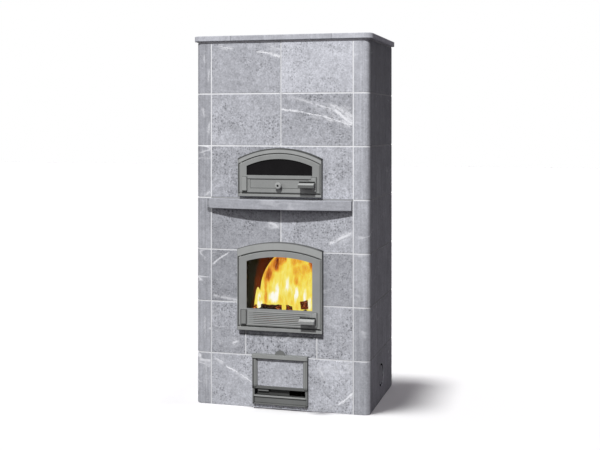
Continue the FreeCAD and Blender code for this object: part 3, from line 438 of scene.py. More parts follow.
@dataclass(frozen=True)
class Soapstone(Finish):
    """Sawn soapstone with clouds, dark flecks and pale veins, each stone with its own pattern.

    Tones run from left to right between the cuts, which are the X of the upright joints. The rise scales the
    tone from the foot to the head of the heater; beyond the rounded corner the side's painted shade takes its
    place, lighter at the foot and darker at the head, as the light falls on the sides.
    """

    tones: tuple[float, ...] = (1.0,)
    cuts: tuple[float, ...] = ()
    veins: tuple[Vein, ...] = ()
    drift: float = 0.25
    streak: float = 0.03
    spread: float = 0.0
    fleck: float = 0.46
    seed: float = 0.0
    rise: Pair = (1.0, 1.0)
    side_painted_shade: Pair = (1.0, 1.0)
    bold: float = 1.0
    way: Triple = (95, 95, 2.4)
    zones: tuple[Zone, ...] = ()
    course: float = 0.27
    height: Pair = (0.0, 1.9)
    corner: Pair = (0.452, 0.461)
    next_stone: float = 11.0
    jump: Triple = (9, 9, 9)
    colour: Triple = (0.385, 0.394, 0.425)
    pale: Triple = (0.80, 0.81, 0.84)

    def stones(self, recipe: Recipe) -> tuple[Socket, Number]:
        """Tells the stones of a course apart, so that each has its own pattern.

        Args:
            recipe: The finish being built.

        Returns:
            The place where a stone reads its patterns, and its tone.
        """
        number = recipe.work(Sum.FLOOR, recipe.times(recipe.up, 1 / self.course))
        tone: Number = self.tones[0]
        for index, cut in enumerate(self.cuts):
            beyond = recipe.work(Sum.MORE, recipe.across, cut)
            number = recipe.work(Sum.ADD, number, recipe.times(beyond, self.next_stone))
            step = self.tones[index + 1] - self.tones[index]
            tone = recipe.work(Sum.ADD, recipe.times(beyond, step), tone)
        number = recipe.work(Sum.ADD, number, self.seed)
        chance = recipe.node("TexWhiteNoise", {"W": number}, noise_dimensions="1D")
        if self.spread:
            own = recipe.even(chance.outputs["Value"], (0, 1), (1 - self.spread, 1 + self.spread))
            tone = recipe.times(own, tone)
        inputs = {0: chance.outputs["Color"], 1: self.jump, 2: recipe.place}
        return recipe.node("VectorMath", inputs, operation="MULTIPLY_ADD").outputs[0], tone

    def by_place(self, recipe: Recipe, shade: Number) -> Number:
        """Scales the tone by its height on the heater, with the painted shade on the sides, and in its zones.

        Args:
            recipe: The finish being built.
            shade: Its shade so far.

        Returns:
            The new shade.
        """
        if self.rise != (1.0, 1.0):
            front = recipe.even(recipe.up, self.height, self.rise)
            # Painted shade on the sides: lighter at the foot and darker at the head.
            side = recipe.even(recipe.up, self.height, self.side_painted_shade)
            turned = recipe.fit(recipe.work(Sum.SIZE, recipe.across), self.corner, (0, 1))
            change = recipe.times(recipe.work(Sum.TAKE, side, front), turned)
            shade = recipe.times(shade, recipe.work(Sum.ADD, front, change))
        for zone in self.zones:
            shade = zone.shade(recipe, shade)
        return shade

    def fill(self, recipe: Recipe) -> None:
        """Lays out the stone.

        Args:
            recipe: The finish being built.
        """
        own_place, tone = self.stones(recipe)
        clouds = recipe.noise(5.5, 5, 0.62, own_place)
        mottle = recipe.noise(34, 4, 0.7, own_place)
        grain = recipe.noise(115, 3, 0.75, own_place)
        patch = 0.19 * self.bold
        speck = 0.28 * self.bold
        shade = recipe.mixed(
            (clouds, (0.28, 0.72), (0.88, 1.12)),
            (mottle, (0.25, 0.75), (1 - patch, 1 + patch)),
            (grain, (0.25, 0.75), (1 - speck, 1 + speck)),
        )
        thick = recipe.fit(recipe.noise(6, 4, 0.62, own_place), (0.40, 0.60), (0.10, 1))
        dark = recipe.times(recipe.flecks(100, 0.62, 0.25, own_place), thick)
        coarse = recipe.times(recipe.flecks(46, 0.42, 0.50, own_place), thick)
        spots = recipe.flecks(13, 0.15, 0.45, own_place)
        dark = recipe.work(Sum.TOP, dark, coarse, spots)
        shade = recipe.times(shade, recipe.even(dark, (0, 1), (1, 1 - self.fleck * self.bold)))
        if self.streak:
            lines = recipe.noise(1, 3, 0.6, recipe.moved(self.way, source=own_place))
            shade = recipe.times(shade, recipe.even(lines, (0.3, 0.7), (1 - self.streak, 1 + self.streak)))
        shade = self.by_place(recipe, shade)
        body = recipe.scaled(self.colour, recipe.times(shade, tone))

        ridge = recipe.noise(1, 4, 0.6, recipe.moved((1.3, 1.3, 3.1), (0, 24, 0), source=own_place))
        ridge = recipe.work(Sum.SIZE, recipe.work(Sum.TAKE, ridge, 0.5))
        where = recipe.fit(recipe.noise(4.5, 3, 0.6, own_place), (0.5, 0.66), (0, 1))
        pale = recipe.times(recipe.fit(ridge, (0.0, 0.016), (self.drift, 0)), where)
        flakes = recipe.flecks(64, 0.36, 0.66, own_place)
        flakes = recipe.times(flakes, recipe.fit(mottle, (0.4, 0.6), (0.2, 1)), 0.36 * self.bold)
        pale = recipe.work(Sum.TOP, pale, flakes)
        for vein in self.veins:
            pale = recipe.work(Sum.TOP, pale, self.vein(recipe, vein))
        colour = recipe.blended(pale, body, self.pale)
        recipe.surface(colour, recipe.even(grain, (0.2, 0.8), (0.72, 0.9)), 0.02)
        saw = recipe.work(Sum.ADD, grain, recipe.times(dark, -0.6))
        recipe.relief(saw, 0.0006, 0.5)

    def vein(self, recipe: Recipe, vein: Vein) -> Socket:
        """Draws one vein as a wavering line that fades at its ends.

        Args:
            recipe: The stone being built.
            vein: Its ends, width and strength.

        Returns:
            One on the vein, zero off it.
        """
        run = (vein.end[0] - vein.start[0], vein.end[1] - vein.start[1])
        length = math.hypot(*run)
        x, z = run[0] / length, run[1] / length
        start = recipe.moved(shift=(-vein.start[0], 0, -vein.start[1]))
        along, side = (
            recipe.node("VectorMath", {0: start, 1: way}, operation="DOT_PRODUCT").outputs["Value"]
            for way in ((x, 0, z), (-z, 0, x))
        )
        waver = recipe.even(recipe.noise(7, 3, 0.5), (0.2, 0.8), (-0.008, 0.008))
        fray = recipe.even(recipe.noise(130, 3, 0.7), (0.2, 0.8), (-0.005, 0.005))
        side = recipe.work(Sum.ADD, side, waver, fray)
        thin = recipe.fit(recipe.work(Sum.SIZE, side), (vein.width * 0.25, vein.width), (1, 0))
        if vein.feather:
            soft = recipe.fit(recipe.work(Sum.SIZE, side), (0, vein.feather), (0.9, 0))
            streaks = recipe.moved((1, 1, 1), (0, math.degrees(math.atan2(run[1], run[0])), 0))
            mist = recipe.noise(1, 4, 0.7, recipe.moved((22, 60, 75), source=streaks))
            mist = recipe.fit(mist, (0.42, 0.64), (0, 1))
            thin = recipe.work(Sum.TOP, thin, recipe.times(soft, mist))
        begin = recipe.fit(along, (0.0, vein.fade[0]), (0, 1))
        finish = recipe.fit(along, (length - vein.fade[1], length), (1, 0))
        broken = recipe.fit(recipe.noise(26, 3, 0.65), (0.34, 0.5), (0.25, 1))
        return recipe.times(thin, begin, finish, broken, vein.strength)


@dataclass(frozen=True)
class Mortar(Finish):
    """Pale pointing between the stones, finely sandy and darker towards the bottom, with painted shade and
    shadows in some zones.
    """

    name: str = "pale_pointing"
    colour: Triple = (0.88, 0.89, 0.91)
    zones: tuple[Zone, ...] = (
        Zone((-0.21, -0.304, 0.40), (-0.16, -0.20, 0.78), 0.05),
        Zone((0.16, -0.304, 0.40), (0.21, -0.20, 0.78), 0.05),
        # Painted shade in the joint just above the shelf, where it meets the wall.
        Zone((-0.379, -0.32, 1.070), (0.379, -0.29, 1.082), 0.42),
        # Painted shadow under the shelf's left end.
        Zone((-0.384, -0.32, 0.996), (-0.374, -0.29, 1.025), 0.35, 0.008),
        # Painted shadow under the fire door frame.
        Zone((-0.2225, -0.32, 0.366), (0.2225, -0.29, 0.401), 0.5, 0.01),
        # Painted shade on the joints of the right side, which faces away from the light.
        Zone((0.4555, -0.28, 0.0), (0.47, 0.40, 2.0), 0.55),
        Zone((-0.01, -0.32, 1.36), (0.01, -0.29, 1.90), 0.82),
    )
    # The pointing is darker towards the bottom of the heater.
    heights: Pair = (0.35, 1.45)
    tone_by_height: Pair = (0.72, 0.93)

    def fill(self, recipe: Recipe) -> None:
        """Lays out the pointing.

        Args:
            recipe: The finish being built.
        """
        sand = recipe.noise(420, 3, 0.7)
        patch = recipe.noise(14, 3, 0.6)
        shade = recipe.mixed((sand, (0.25, 0.75), (0.9, 1.07)), (patch, (0.3, 0.7), (0.9, 1.06)))
        shade = recipe.times(shade, recipe.fit(recipe.up, self.heights, self.tone_by_height))
        for zone in self.zones:
            shade = zone.shade(recipe, shade)
        recipe.surface(recipe.scaled(self.colour, shade), recipe.even(sand, (0.2, 0.8), (0.86, 0.97)), 0.08)
        recipe.relief(sand, 0.0008, 0.6)


@dataclass(frozen=True)
class CoreStone(Finish):
    """Rough stone of the core, sooted where the fire reaches it."""

    colour: Triple = (0.30, 0.29, 0.27)
    soot: float = 0.0
    sooted: Triple = (0.022, 0.018, 0.015)

    def fill(self, recipe: Recipe) -> None:
        """Lays out the stone.

        Args:
            recipe: The finish being built.
        """
        cloud = recipe.noise(7, 5, 0.62)
        grit = recipe.noise(160, 4, 0.72)
        shade = recipe.mixed((cloud, (0.28, 0.72), (0.8, 1.15)), (grit, (0.25, 0.75), (0.8, 1.16)))
        body = recipe.scaled(self.colour, shade)
        if self.soot:
            film = recipe.even(recipe.noise(5, 4, 0.65), (0.2, 0.72), (1, 1 - self.soot * 0.25))
            black = recipe.scaled(self.sooted, shade)
            body = recipe.blended(recipe.times(film, self.soot), body, black)
        recipe.surface(body, recipe.even(grit, (0.2, 0.8), (0.82, 0.97)), 0.1)
        recipe.relief(grit, 0.0014, 0.6)


@dataclass(frozen=True)
class SootedStone(Finish):
    """Firebox stone under soot: black at the front, and red-brown deeper in, a painted glow of the fire."""

    name: str = "sooted_stone"
    cold: Triple = (0.016, 0.021, 0.022)
    hot: Triple = (0.200, 0.046, 0.020)
    front: float = -0.18
    low: float = 0.484
    lean: float = 0.59

    def fill(self, recipe: Recipe) -> None:
        """Lays out the stone.

        Args:
            recipe: The finish being built.
        """
        cloud = recipe.noise(9, 5, 0.62)
        grit = recipe.noise(160, 4, 0.72)
        climb = recipe.times(recipe.work(Sum.TAKE, recipe.up, self.low), self.lean)
        depth = recipe.work(Sum.TAKE, recipe.deep, self.front, climb)
        depth = recipe.work(Sum.ADD, depth, recipe.even(cloud, (0.3, 0.7), (-0.03, 0.03)))
        shade = recipe.mixed((cloud, (0.28, 0.72), (0.8, 1.15)), (grit, (0.25, 0.75), (0.8, 1.16)))
        black = recipe.scaled(self.cold, shade)
        brown = recipe.scaled(self.hot, shade)
        # Painted glow of the fire: the hot colour grows deeper in, towards the flames.
        firelit_share = recipe.fit(depth, (-0.05, 0.07), (0, 1))
        colour = recipe.blended(firelit_share, black, brown)
        recipe.surface(colour, recipe.even(grit, (0.2, 0.8), (0.82, 0.97)), 0.05)
        recipe.relief(grit, 0.0014, 0.6)


@dataclass(frozen=True)
class FibreBoard(Finish):
    """Insulating board: pale, matted fibres with a pressed face."""

    name: str = "insulating_board"
    colour: Triple = (0.56, 0.53, 0.45)

    def fill(self, recipe: Recipe) -> None:
        """Lays out the board.

        Args:
            recipe: The finish being built.
        """
        mat = recipe.noise(1, 4, 0.7, recipe.moved((240, 40, 240), (18, 0, 31)))
        clump = recipe.noise(22, 3, 0.6)
        shade = recipe.mixed((mat, (0.25, 0.75), (0.84, 1.1)), (clump, (0.3, 0.7), (0.92, 1.06)))
        recipe.surface(recipe.scaled(self.colour, shade), 0.95, 0.05)
        recipe.relief(mat, 0.0012, 0.7)


@dataclass(frozen=True)
class Rim:
    """The outer edge of an arched frame, with a painted dark line of shade along its arch and its left side.
    """

    half: float
    head: float
    rise: float
    width: float = 0.0042
    tone: float = 0.40
    side_tone: float = 0.80

    def shade(self, recipe: Recipe, shade: Number) -> Socket:
        """Darkens the shade along the edge with painted shade.

        Args:
            recipe: The finish being built.
            shade: Its shade so far.

        Returns:
            The new shade.
        """
        radius = (self.half ** 2 + self.rise ** 2) / (2 * self.rise)
        across = recipe.across
        height = recipe.work(Sum.TAKE, recipe.up, self.head - radius)
        squares = recipe.work(Sum.ADD, recipe.times(across, across), recipe.times(height, height))
        room = recipe.work(Sum.TAKE, radius, recipe.work(Sum.POWER, squares, 0.5))
        left = recipe.work(Sum.ADD, across, self.half)
        band = (self.width / 2, self.width)
        head_shade = recipe.fit(room, band, (self.tone, 1))
        return recipe.times(shade, head_shade, recipe.fit(left, band, (self.side_tone, 1)))


@dataclass(frozen=True)
class DoorPaint(Finish):
    """Heat-proof grey paint on cast doors: fine sand grain, faint clouds, a dull sheen."""

    tone: float = 1.0
    zones: tuple[Union[Zone, Rim], ...] = ()
    colour: Triple = (0.318, 0.327, 0.320)
    rough: float = 0.62

    def fill(self, recipe: Recipe) -> None:
        """Lays out the paint.

        Args:
            recipe: The finish being built.
        """
        sand = recipe.noise(620, 3, 0.7)
        cloud = recipe.noise(6, 4, 0.6)
        rub = recipe.noise(1, 3, 0.6, recipe.moved((34, 34, 9)))
        shade = recipe.mixed(
            (sand, (0.25, 0.75), (0.93, 1.07)),
            (cloud, (0.3, 0.7), (0.94, 1.06)),
            (rub, (0.3, 0.7), (0.97, 1.03)),
        )
        shade = recipe.times(shade, self.tone)
        for zone in self.zones:
            shade = zone.shade(recipe, shade)
        colour = recipe.scaled(self.colour, shade)
        recipe.surface(colour, recipe.even(rub, (0.25, 0.75), (self.rough - 0.07, self.rough + 0.07)), 0.06)
        recipe.relief(sand, 0.00025, 0.5)


@dataclass(frozen=True)
class BareMetal(Finish):
    """Bare cast iron or steel with mill marks and a little scale."""

    colour: Triple
    rough: float
    marks: Triple = (60, 60, 60)
    scale: float = 0.25
    metal: float = 0.85

    def fill(self, recipe: Recipe) -> None:
        """Lays out the metal.

        Args:
            recipe: The finish being built.
        """
        mark = recipe.noise(1, 4, 0.7, recipe.moved(self.marks))
        patch = recipe.noise(24, 4, 0.65)
        dull, bright = 1 - self.scale, 1 + self.scale * 0.6
        shade = recipe.mixed((mark, (0.25, 0.75), (dull, bright)), (patch, (0.3, 0.7), (0.85, 1.1)))
        recipe.set("Base Color", recipe.scaled(self.colour, shade))
        recipe.set("Metallic", self.metal)
        recipe.set("Roughness", recipe.even(patch, (0.25, 0.75), (self.rough - 0.1, self.rough + 0.1)))
        recipe.relief(mark, 0.0003, 0.6)


@dataclass(frozen=True)
class ClearGlass(Finish):
    """Heat-proof clear pane with a faint smoke film along its edges."""

    name: str = "clear_pane"
    tint: Triple = (0.97, 0.96, 0.93)
    smoke: Triple = (0.86, 0.82, 0.74)
    bend: float = 1.12

    def fill(self, recipe: Recipe) -> None:
        """Lays out the pane.

        Args:
            recipe: The finish being built.
        """
        film = recipe.noise(16, 4, 0.6)
        share = recipe.fit(film, (0.35, 0.75), (0, 0.25))
        recipe.set("Base Color", recipe.blended(share, self.tint, self.smoke))
        recipe.set("Transmission Weight", 1.0)
        recipe.set("Roughness", recipe.fit(film, (0.4, 0.8), (0.0, 0.03)))
        recipe.set("IOR", self.bend)


@dataclass(frozen=True)
class DarkGlass(Finish):
    """Black oven pane with a hardly visible haze."""

    name: str = "dark_pane"
    colour: Triple = (0.0078, 0.0072, 0.0078)

    def fill(self, recipe: Recipe) -> None:
        """Lays out the pane.

        Args:
            recipe: The finish being built.
        """
        haze = recipe.noise(12, 4, 0.6)
        colour = recipe.scaled(self.colour, recipe.even(haze, (0.3, 0.7), (0.8, 1.3)))
        recipe.surface(colour, recipe.even(haze, (0.3, 0.7), (0.05, 0.16)), 0.06)


@dataclass(frozen=True)
class FibreRope(Finish):
    """Woven glass-fibre rope and tape."""

    name: str = "glass_fibre"
    colour: Triple = (0.34, 0.33, 0.30)

    def fill(self, recipe: Recipe) -> None:
        """Lays out the weave.

        Args:
            recipe: The finish being built.
        """
        one = recipe.noise(1, 1, 0.5, recipe.moved((900, 900, 160), (0, 38, 0)))
        two = recipe.noise(1, 1, 0.5, recipe.moved((900, 900, 160), (0, -38, 0)))
        weave = recipe.work(Sum.TOP, one, two)
        recipe.surface(recipe.scaled(self.colour, recipe.even(weave, (0.4, 0.75), (0.6, 1.15))), 0.93, 0.1)
        recipe.relief(weave, 0.0008, 0.7)


@dataclass(frozen=True)
class Glow:
    """A hotter or cooler place in the flames, by its X and Z and how far it reaches."""

    place: Pair
    reach: Pair
    gain: float


@dataclass(frozen=True)
class Flame(Finish):
    """Glowing flame: white in its hottest places, yellow round them, orange and red where it cools."""

    name: str = "flame"
    warmth: float = 0.66
    glows: tuple[Glow, ...] = (
        Glow((-0.080, 0.549), (0.036, 0.038), 0.33),
        Glow((-0.060, 0.588), (0.014, 0.042), 0.20),
        Glow((0.000, 0.629), (0.016, 0.050), 0.22),
        Glow((0.050, 0.566), (0.012, 0.060), 0.28),
        Glow((0.088, 0.555), (0.010, 0.050), 0.24),
        Glow((0.122, 0.520), (0.022, 0.050), 0.36),
        Glow((-0.156, 0.541), (0.010, 0.045), 0.28),
        Glow((-0.147, 0.507), (0.012, 0.030), 0.28),
        Glow((-0.143, 0.662), (0.030, 0.050), -0.20),
        Glow((-0.110, 0.668), (0.022, 0.055), -0.38),
        Glow((-0.078, 0.718), (0.030, 0.050), -0.40),
        Glow((-0.046, 0.748), (0.036, 0.040), -0.46),
        Glow((-0.128, 0.612), (0.013, 0.055), -0.30),
        Glow((-0.124, 0.545), (0.016, 0.045), -0.30),
        Glow((0.044, 0.638), (0.014, 0.035), -0.24),
        Glow((0.118, 0.720), (0.032, 0.045), -0.34),
        Glow((0.042, 0.740), (0.040, 0.030), -0.22),
        Glow((0.010, 0.561), (0.015, 0.030), -0.18),
        Glow((-0.100, 0.602), (0.012, 0.030), -0.14),
        Glow((-0.102, 0.655), (0.036, 0.046), -0.22),
        Glow((-0.055, 0.702), (0.032, 0.032), -0.26),
        Glow((0.062, 0.690), (0.050, 0.036), -0.20),
        Glow((0.020, 0.580), (0.062, 0.052), 0.16),
    )
    stops: tuple[tuple[float, Triple], ...] = (
        (0.0, (0.16, 0.030, 0.008)),
        (0.18, (0.52, 0.13, 0.016)),
        (0.34, (0.80, 0.34, 0.035)),
        (0.50, (0.87, 0.53, 0.055)),
        (0.64, (0.91, 0.73, 0.095)),
        (0.80, (0.94, 0.83, 0.20)),
        (0.90, (0.97, 0.91, 0.52)),
        (1.0, (1.0, 1.0, 0.93)),
    )
    swirl: float = 0.17
    flicker: float = 0.19
    cooling: Pair = (0.60, 0.82)
    cooled: float = 0.12
    burnt: Triple = (0.02, 0.01, 0.005)
    strength: float = 1.0

    def fill(self, recipe: Recipe) -> None:
        """Lays out the flame.

        Args:
            recipe: The finish being built.
        """
        broad = recipe.noise(1, 3, 0.6, recipe.moved((15, 3, 4.6), (0, -14, 0)))
        lick = recipe.noise(1, 4, 0.68, recipe.moved((54, 6, 15), (0, -17, 0)))
        swirl = recipe.even(broad, (0.25, 0.75), (-self.swirl, self.swirl))
        flicker = recipe.even(lick, (0.25, 0.75), (-self.flicker, self.flicker))
        warmth = recipe.fit(recipe.up, self.cooling, (self.warmth, self.warmth - self.cooled))
        heat = recipe.work(Sum.ADD, swirl, flicker, warmth)
        for glow in self.glows:
            side = recipe.times(recipe.work(Sum.TAKE, recipe.across, glow.place[0]), 1 / glow.reach[0])
            high = recipe.times(recipe.work(Sum.TAKE, recipe.up, glow.place[1]), 1 / glow.reach[1])
            far = recipe.work(Sum.ADD, recipe.times(side, side), recipe.times(high, high))
            heat = recipe.work(Sum.ADD, heat, recipe.fit(far, (0, 1), (glow.gain, 0)))
        recipe.surface(self.burnt, 1.0, 0.0)
        recipe.set("Emission Color", recipe.ramp(heat, self.stops))
        recipe.set("Emission Strength", self.strength)


@dataclass(frozen=True)
class CharredWood(Finish):
    """Burning firewood: checked black char with glowing cracks, grey with ash below a height."""

    grain: Triple = (18, 90, 90)
    glow: float = 0.8
    char: Triple = (0.012, 0.008, 0.006)
    brown: Triple = (0.085, 0.035, 0.018)
    ash: float = 0.0
    ash_fade: float = 0.016
    grey: Triple = (0.006, 0.007, 0.008)
    stops: tuple[tuple[float, Triple], ...] = (
        (0.0, (0.0, 0.0, 0.0)),
        (0.5, (0.45, 0.06, 0.01)),
        (1.0, (0.95, 0.30, 0.05)),
    )

    def fill(self, recipe: Recipe) -> None:
        """Lays out the char.

        Args:
            recipe: The finish being built.
        """
        inputs = {"Vector": recipe.moved(self.grain), "Scale": 1.0}
        crack = recipe.node("TexVoronoi", inputs, feature="DISTANCE_TO_EDGE").outputs["Distance"]
        fibre = recipe.noise(1, 4, 0.7, recipe.moved(self.grain))
        char = recipe.blended(recipe.fit(fibre, (0.4, 0.7), (0, 1)), self.char, self.brown)
        bare = recipe.fit(recipe.up, (self.ash - self.ash_fade, self.ash), (0, 1))
        recipe.surface(recipe.blended(bare, self.grey, char), 0.9, 0.15)
        alight = recipe.fit(recipe.noise(14, 3), (0.45, 0.65), (0, 1))
        hot = recipe.times(recipe.fit(crack, (0.02, 0.10), (1, 0)), alight, bare)
        recipe.set("Emission Color", recipe.ramp(hot, self.stops))
        recipe.set("Emission Strength", self.glow)
        recipe.relief(recipe.fit(crack, (0.0, 0.14), (0, 1)), 0.003, 0.9)


@dataclass(frozen=True)
class PaleFloor(Finish):
    """Plain white floor that keeps the shadow and throws little light back on the stone."""

    name: str = "pale_floor"
    shown: Triple = (0.96, 0.96, 0.96)
    thrown: Triple = (0.12, 0.115, 0.12)

    def fill(self, recipe: Recipe) -> None:
        """Lays out the floor.

        Args:
            recipe: The finish being built.
        """
        recipe.surface(recipe.blended(recipe.seen(), self.thrown, self.shown), 1.0, 0.0)


class Bench:
    """Hand tools: selects by place, and shapes what is selected."""

    @staticmethod
    def clear() -> None:
        """Leaves edit mode with nothing selected."""
        if bpy.context.mode != "OBJECT":
            bpy.ops.object.mode_set(mode="OBJECT")
        bpy.ops.object.select_all(action="DESELECT")

    @staticmethod
    def take(piece: bpy.types.Object) -> None:
        """Selects one piece alone and makes it the active one.

        Args:
            piece: The piece.
        """
        Bench.clear()
        piece.select_set(True)
        bpy.context.view_layer.objects.active = piece

    @staticmethod
    def begin(name: str) -> bpy.types.Object:
        """Names the new primitive and opens it for shaping.

        Args:
            name: Name of the piece.

        Returns:
            The piece, in edit mode.
        """
        piece = bpy.context.active_object
        piece.name = name
        piece.data.name = name
        bpy.ops.object.mode_set(mode="EDIT")
        return piece

    @staticmethod
    def pick(piece: bpy.types.Object, kind: Element, test: Callable[[Shape], bool]) -> None:
        """Selects the faces or edges that a test accepts.

        Args:
            piece: The piece in edit mode.
            kind: Faces or edges.
            test: Takes a face or an edge.
        """
        bpy.ops.mesh.select_mode(type=kind.name)
        bpy.ops.mesh.select_all(action="DESELECT")
        mesh = bmesh.from_edit_mesh(piece.data)
        for item in getattr(mesh, kind.value):
            if test(item):
                item.select_set(True)
        mesh.select_flush_mode()
        bmesh.update_edit_mesh(piece.data)

    @staticmethod
    def apply(piece: bpy.types.Object, kind: Tool, **settings: object) -> None:
        """Adds a modifier and applies it.

        Args:
            piece: The piece, in object mode.
            kind: The modifier.
            settings: Its settings.
        """
        Bench.take(piece)
        modifier = piece.modifiers.new(kind.name.lower(), kind.value)
        for key, value in settings.items():
            setattr(modifier, key, value)
        bpy.ops.object.modifier_apply(modifier=modifier.name)

    @staticmethod
    def settle(piece: bpy.types.Object, angle: float) -> None:
        """Puts the place into the mesh, turns the faces outwards and smooths the shading.

        Args:
            piece: The piece, in object mode.
            angle: Edges sharper than this many degrees stay sharp.
        """
        Bench.take(piece)
        bpy.ops.object.transform_apply(location=True, rotation=True, scale=True)
        bpy.ops.object.mode_set(mode="EDIT")
        bpy.ops.mesh.select_all(action="SELECT")
        bpy.ops.mesh.remove_doubles(threshold=SAME_POINT)
        bpy.ops.mesh.normals_make_consistent(inside=False)
        bpy.ops.object.mode_set(mode="OBJECT")
        bpy.ops.object.shade_smooth_by_angle(angle=math.radians(angle))

    @staticmethod
    def place(spot: Triple, *turns: tuple[float, str], size: float = 1.0) -> Matrix:
        """Works out where a copy goes.

        Args:
            spot: Where its origin goes.
            turns: Degrees and axis of each turn, of which the last is made first.
            size: How much it is scaled.

        Returns:
            The place.
        """
        whole = Matrix.Translation(spot)
        for angle, letter in turns:
            whole = whole @ Matrix.Rotation(math.radians(angle), 4, letter)
        return whole @ Matrix.Scale(size, 4)

    @staticmethod
    def copy(piece: bpy.types.Object, name: str, place: Matrix) -> bpy.types.Object:
        """Copies a finished piece with a mesh of its own.

        Args:
            piece: The piece to copy.
            name: Name of the copy.
            place: Where the copy goes.

        Returns:
            The copy.
        """
        twin = piece.copy()
        twin.data = piece.data.copy()
        twin.name = name
        twin.data.name = name
        twin.data.transform(place)
        bpy.context.scene.collection.objects.link(twin)
        return twin

    @staticmethod
    def join(pieces: Sequence[bpy.types.Object], name: str) -> bpy.types.Object:
        """Joins pieces into one.

        Args:
            pieces: The pieces.
            name: Name of the whole.

        Returns:
            The whole.
        """
        Bench.clear()
        for piece in pieces:
            piece.select_set(True)
        bpy.context.view_layer.objects.active = pieces[0]
        bpy.ops.object.join()
        whole = bpy.context.active_object
        whole.name = name
        whole.data.name = name
        return whole


def dress(finish: Finish, *names: str) -> None:
    """Makes a finish and gives it to CAD nodes.

    Args:
        finish: The finish.
        names: The nodes.
    """
    material = finish.make()
    for name in names:
        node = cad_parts[name]
        node.data.materials.clear()
        node.data.materials.append(material)
        log.info("dressed %s in %s", name, material.name)


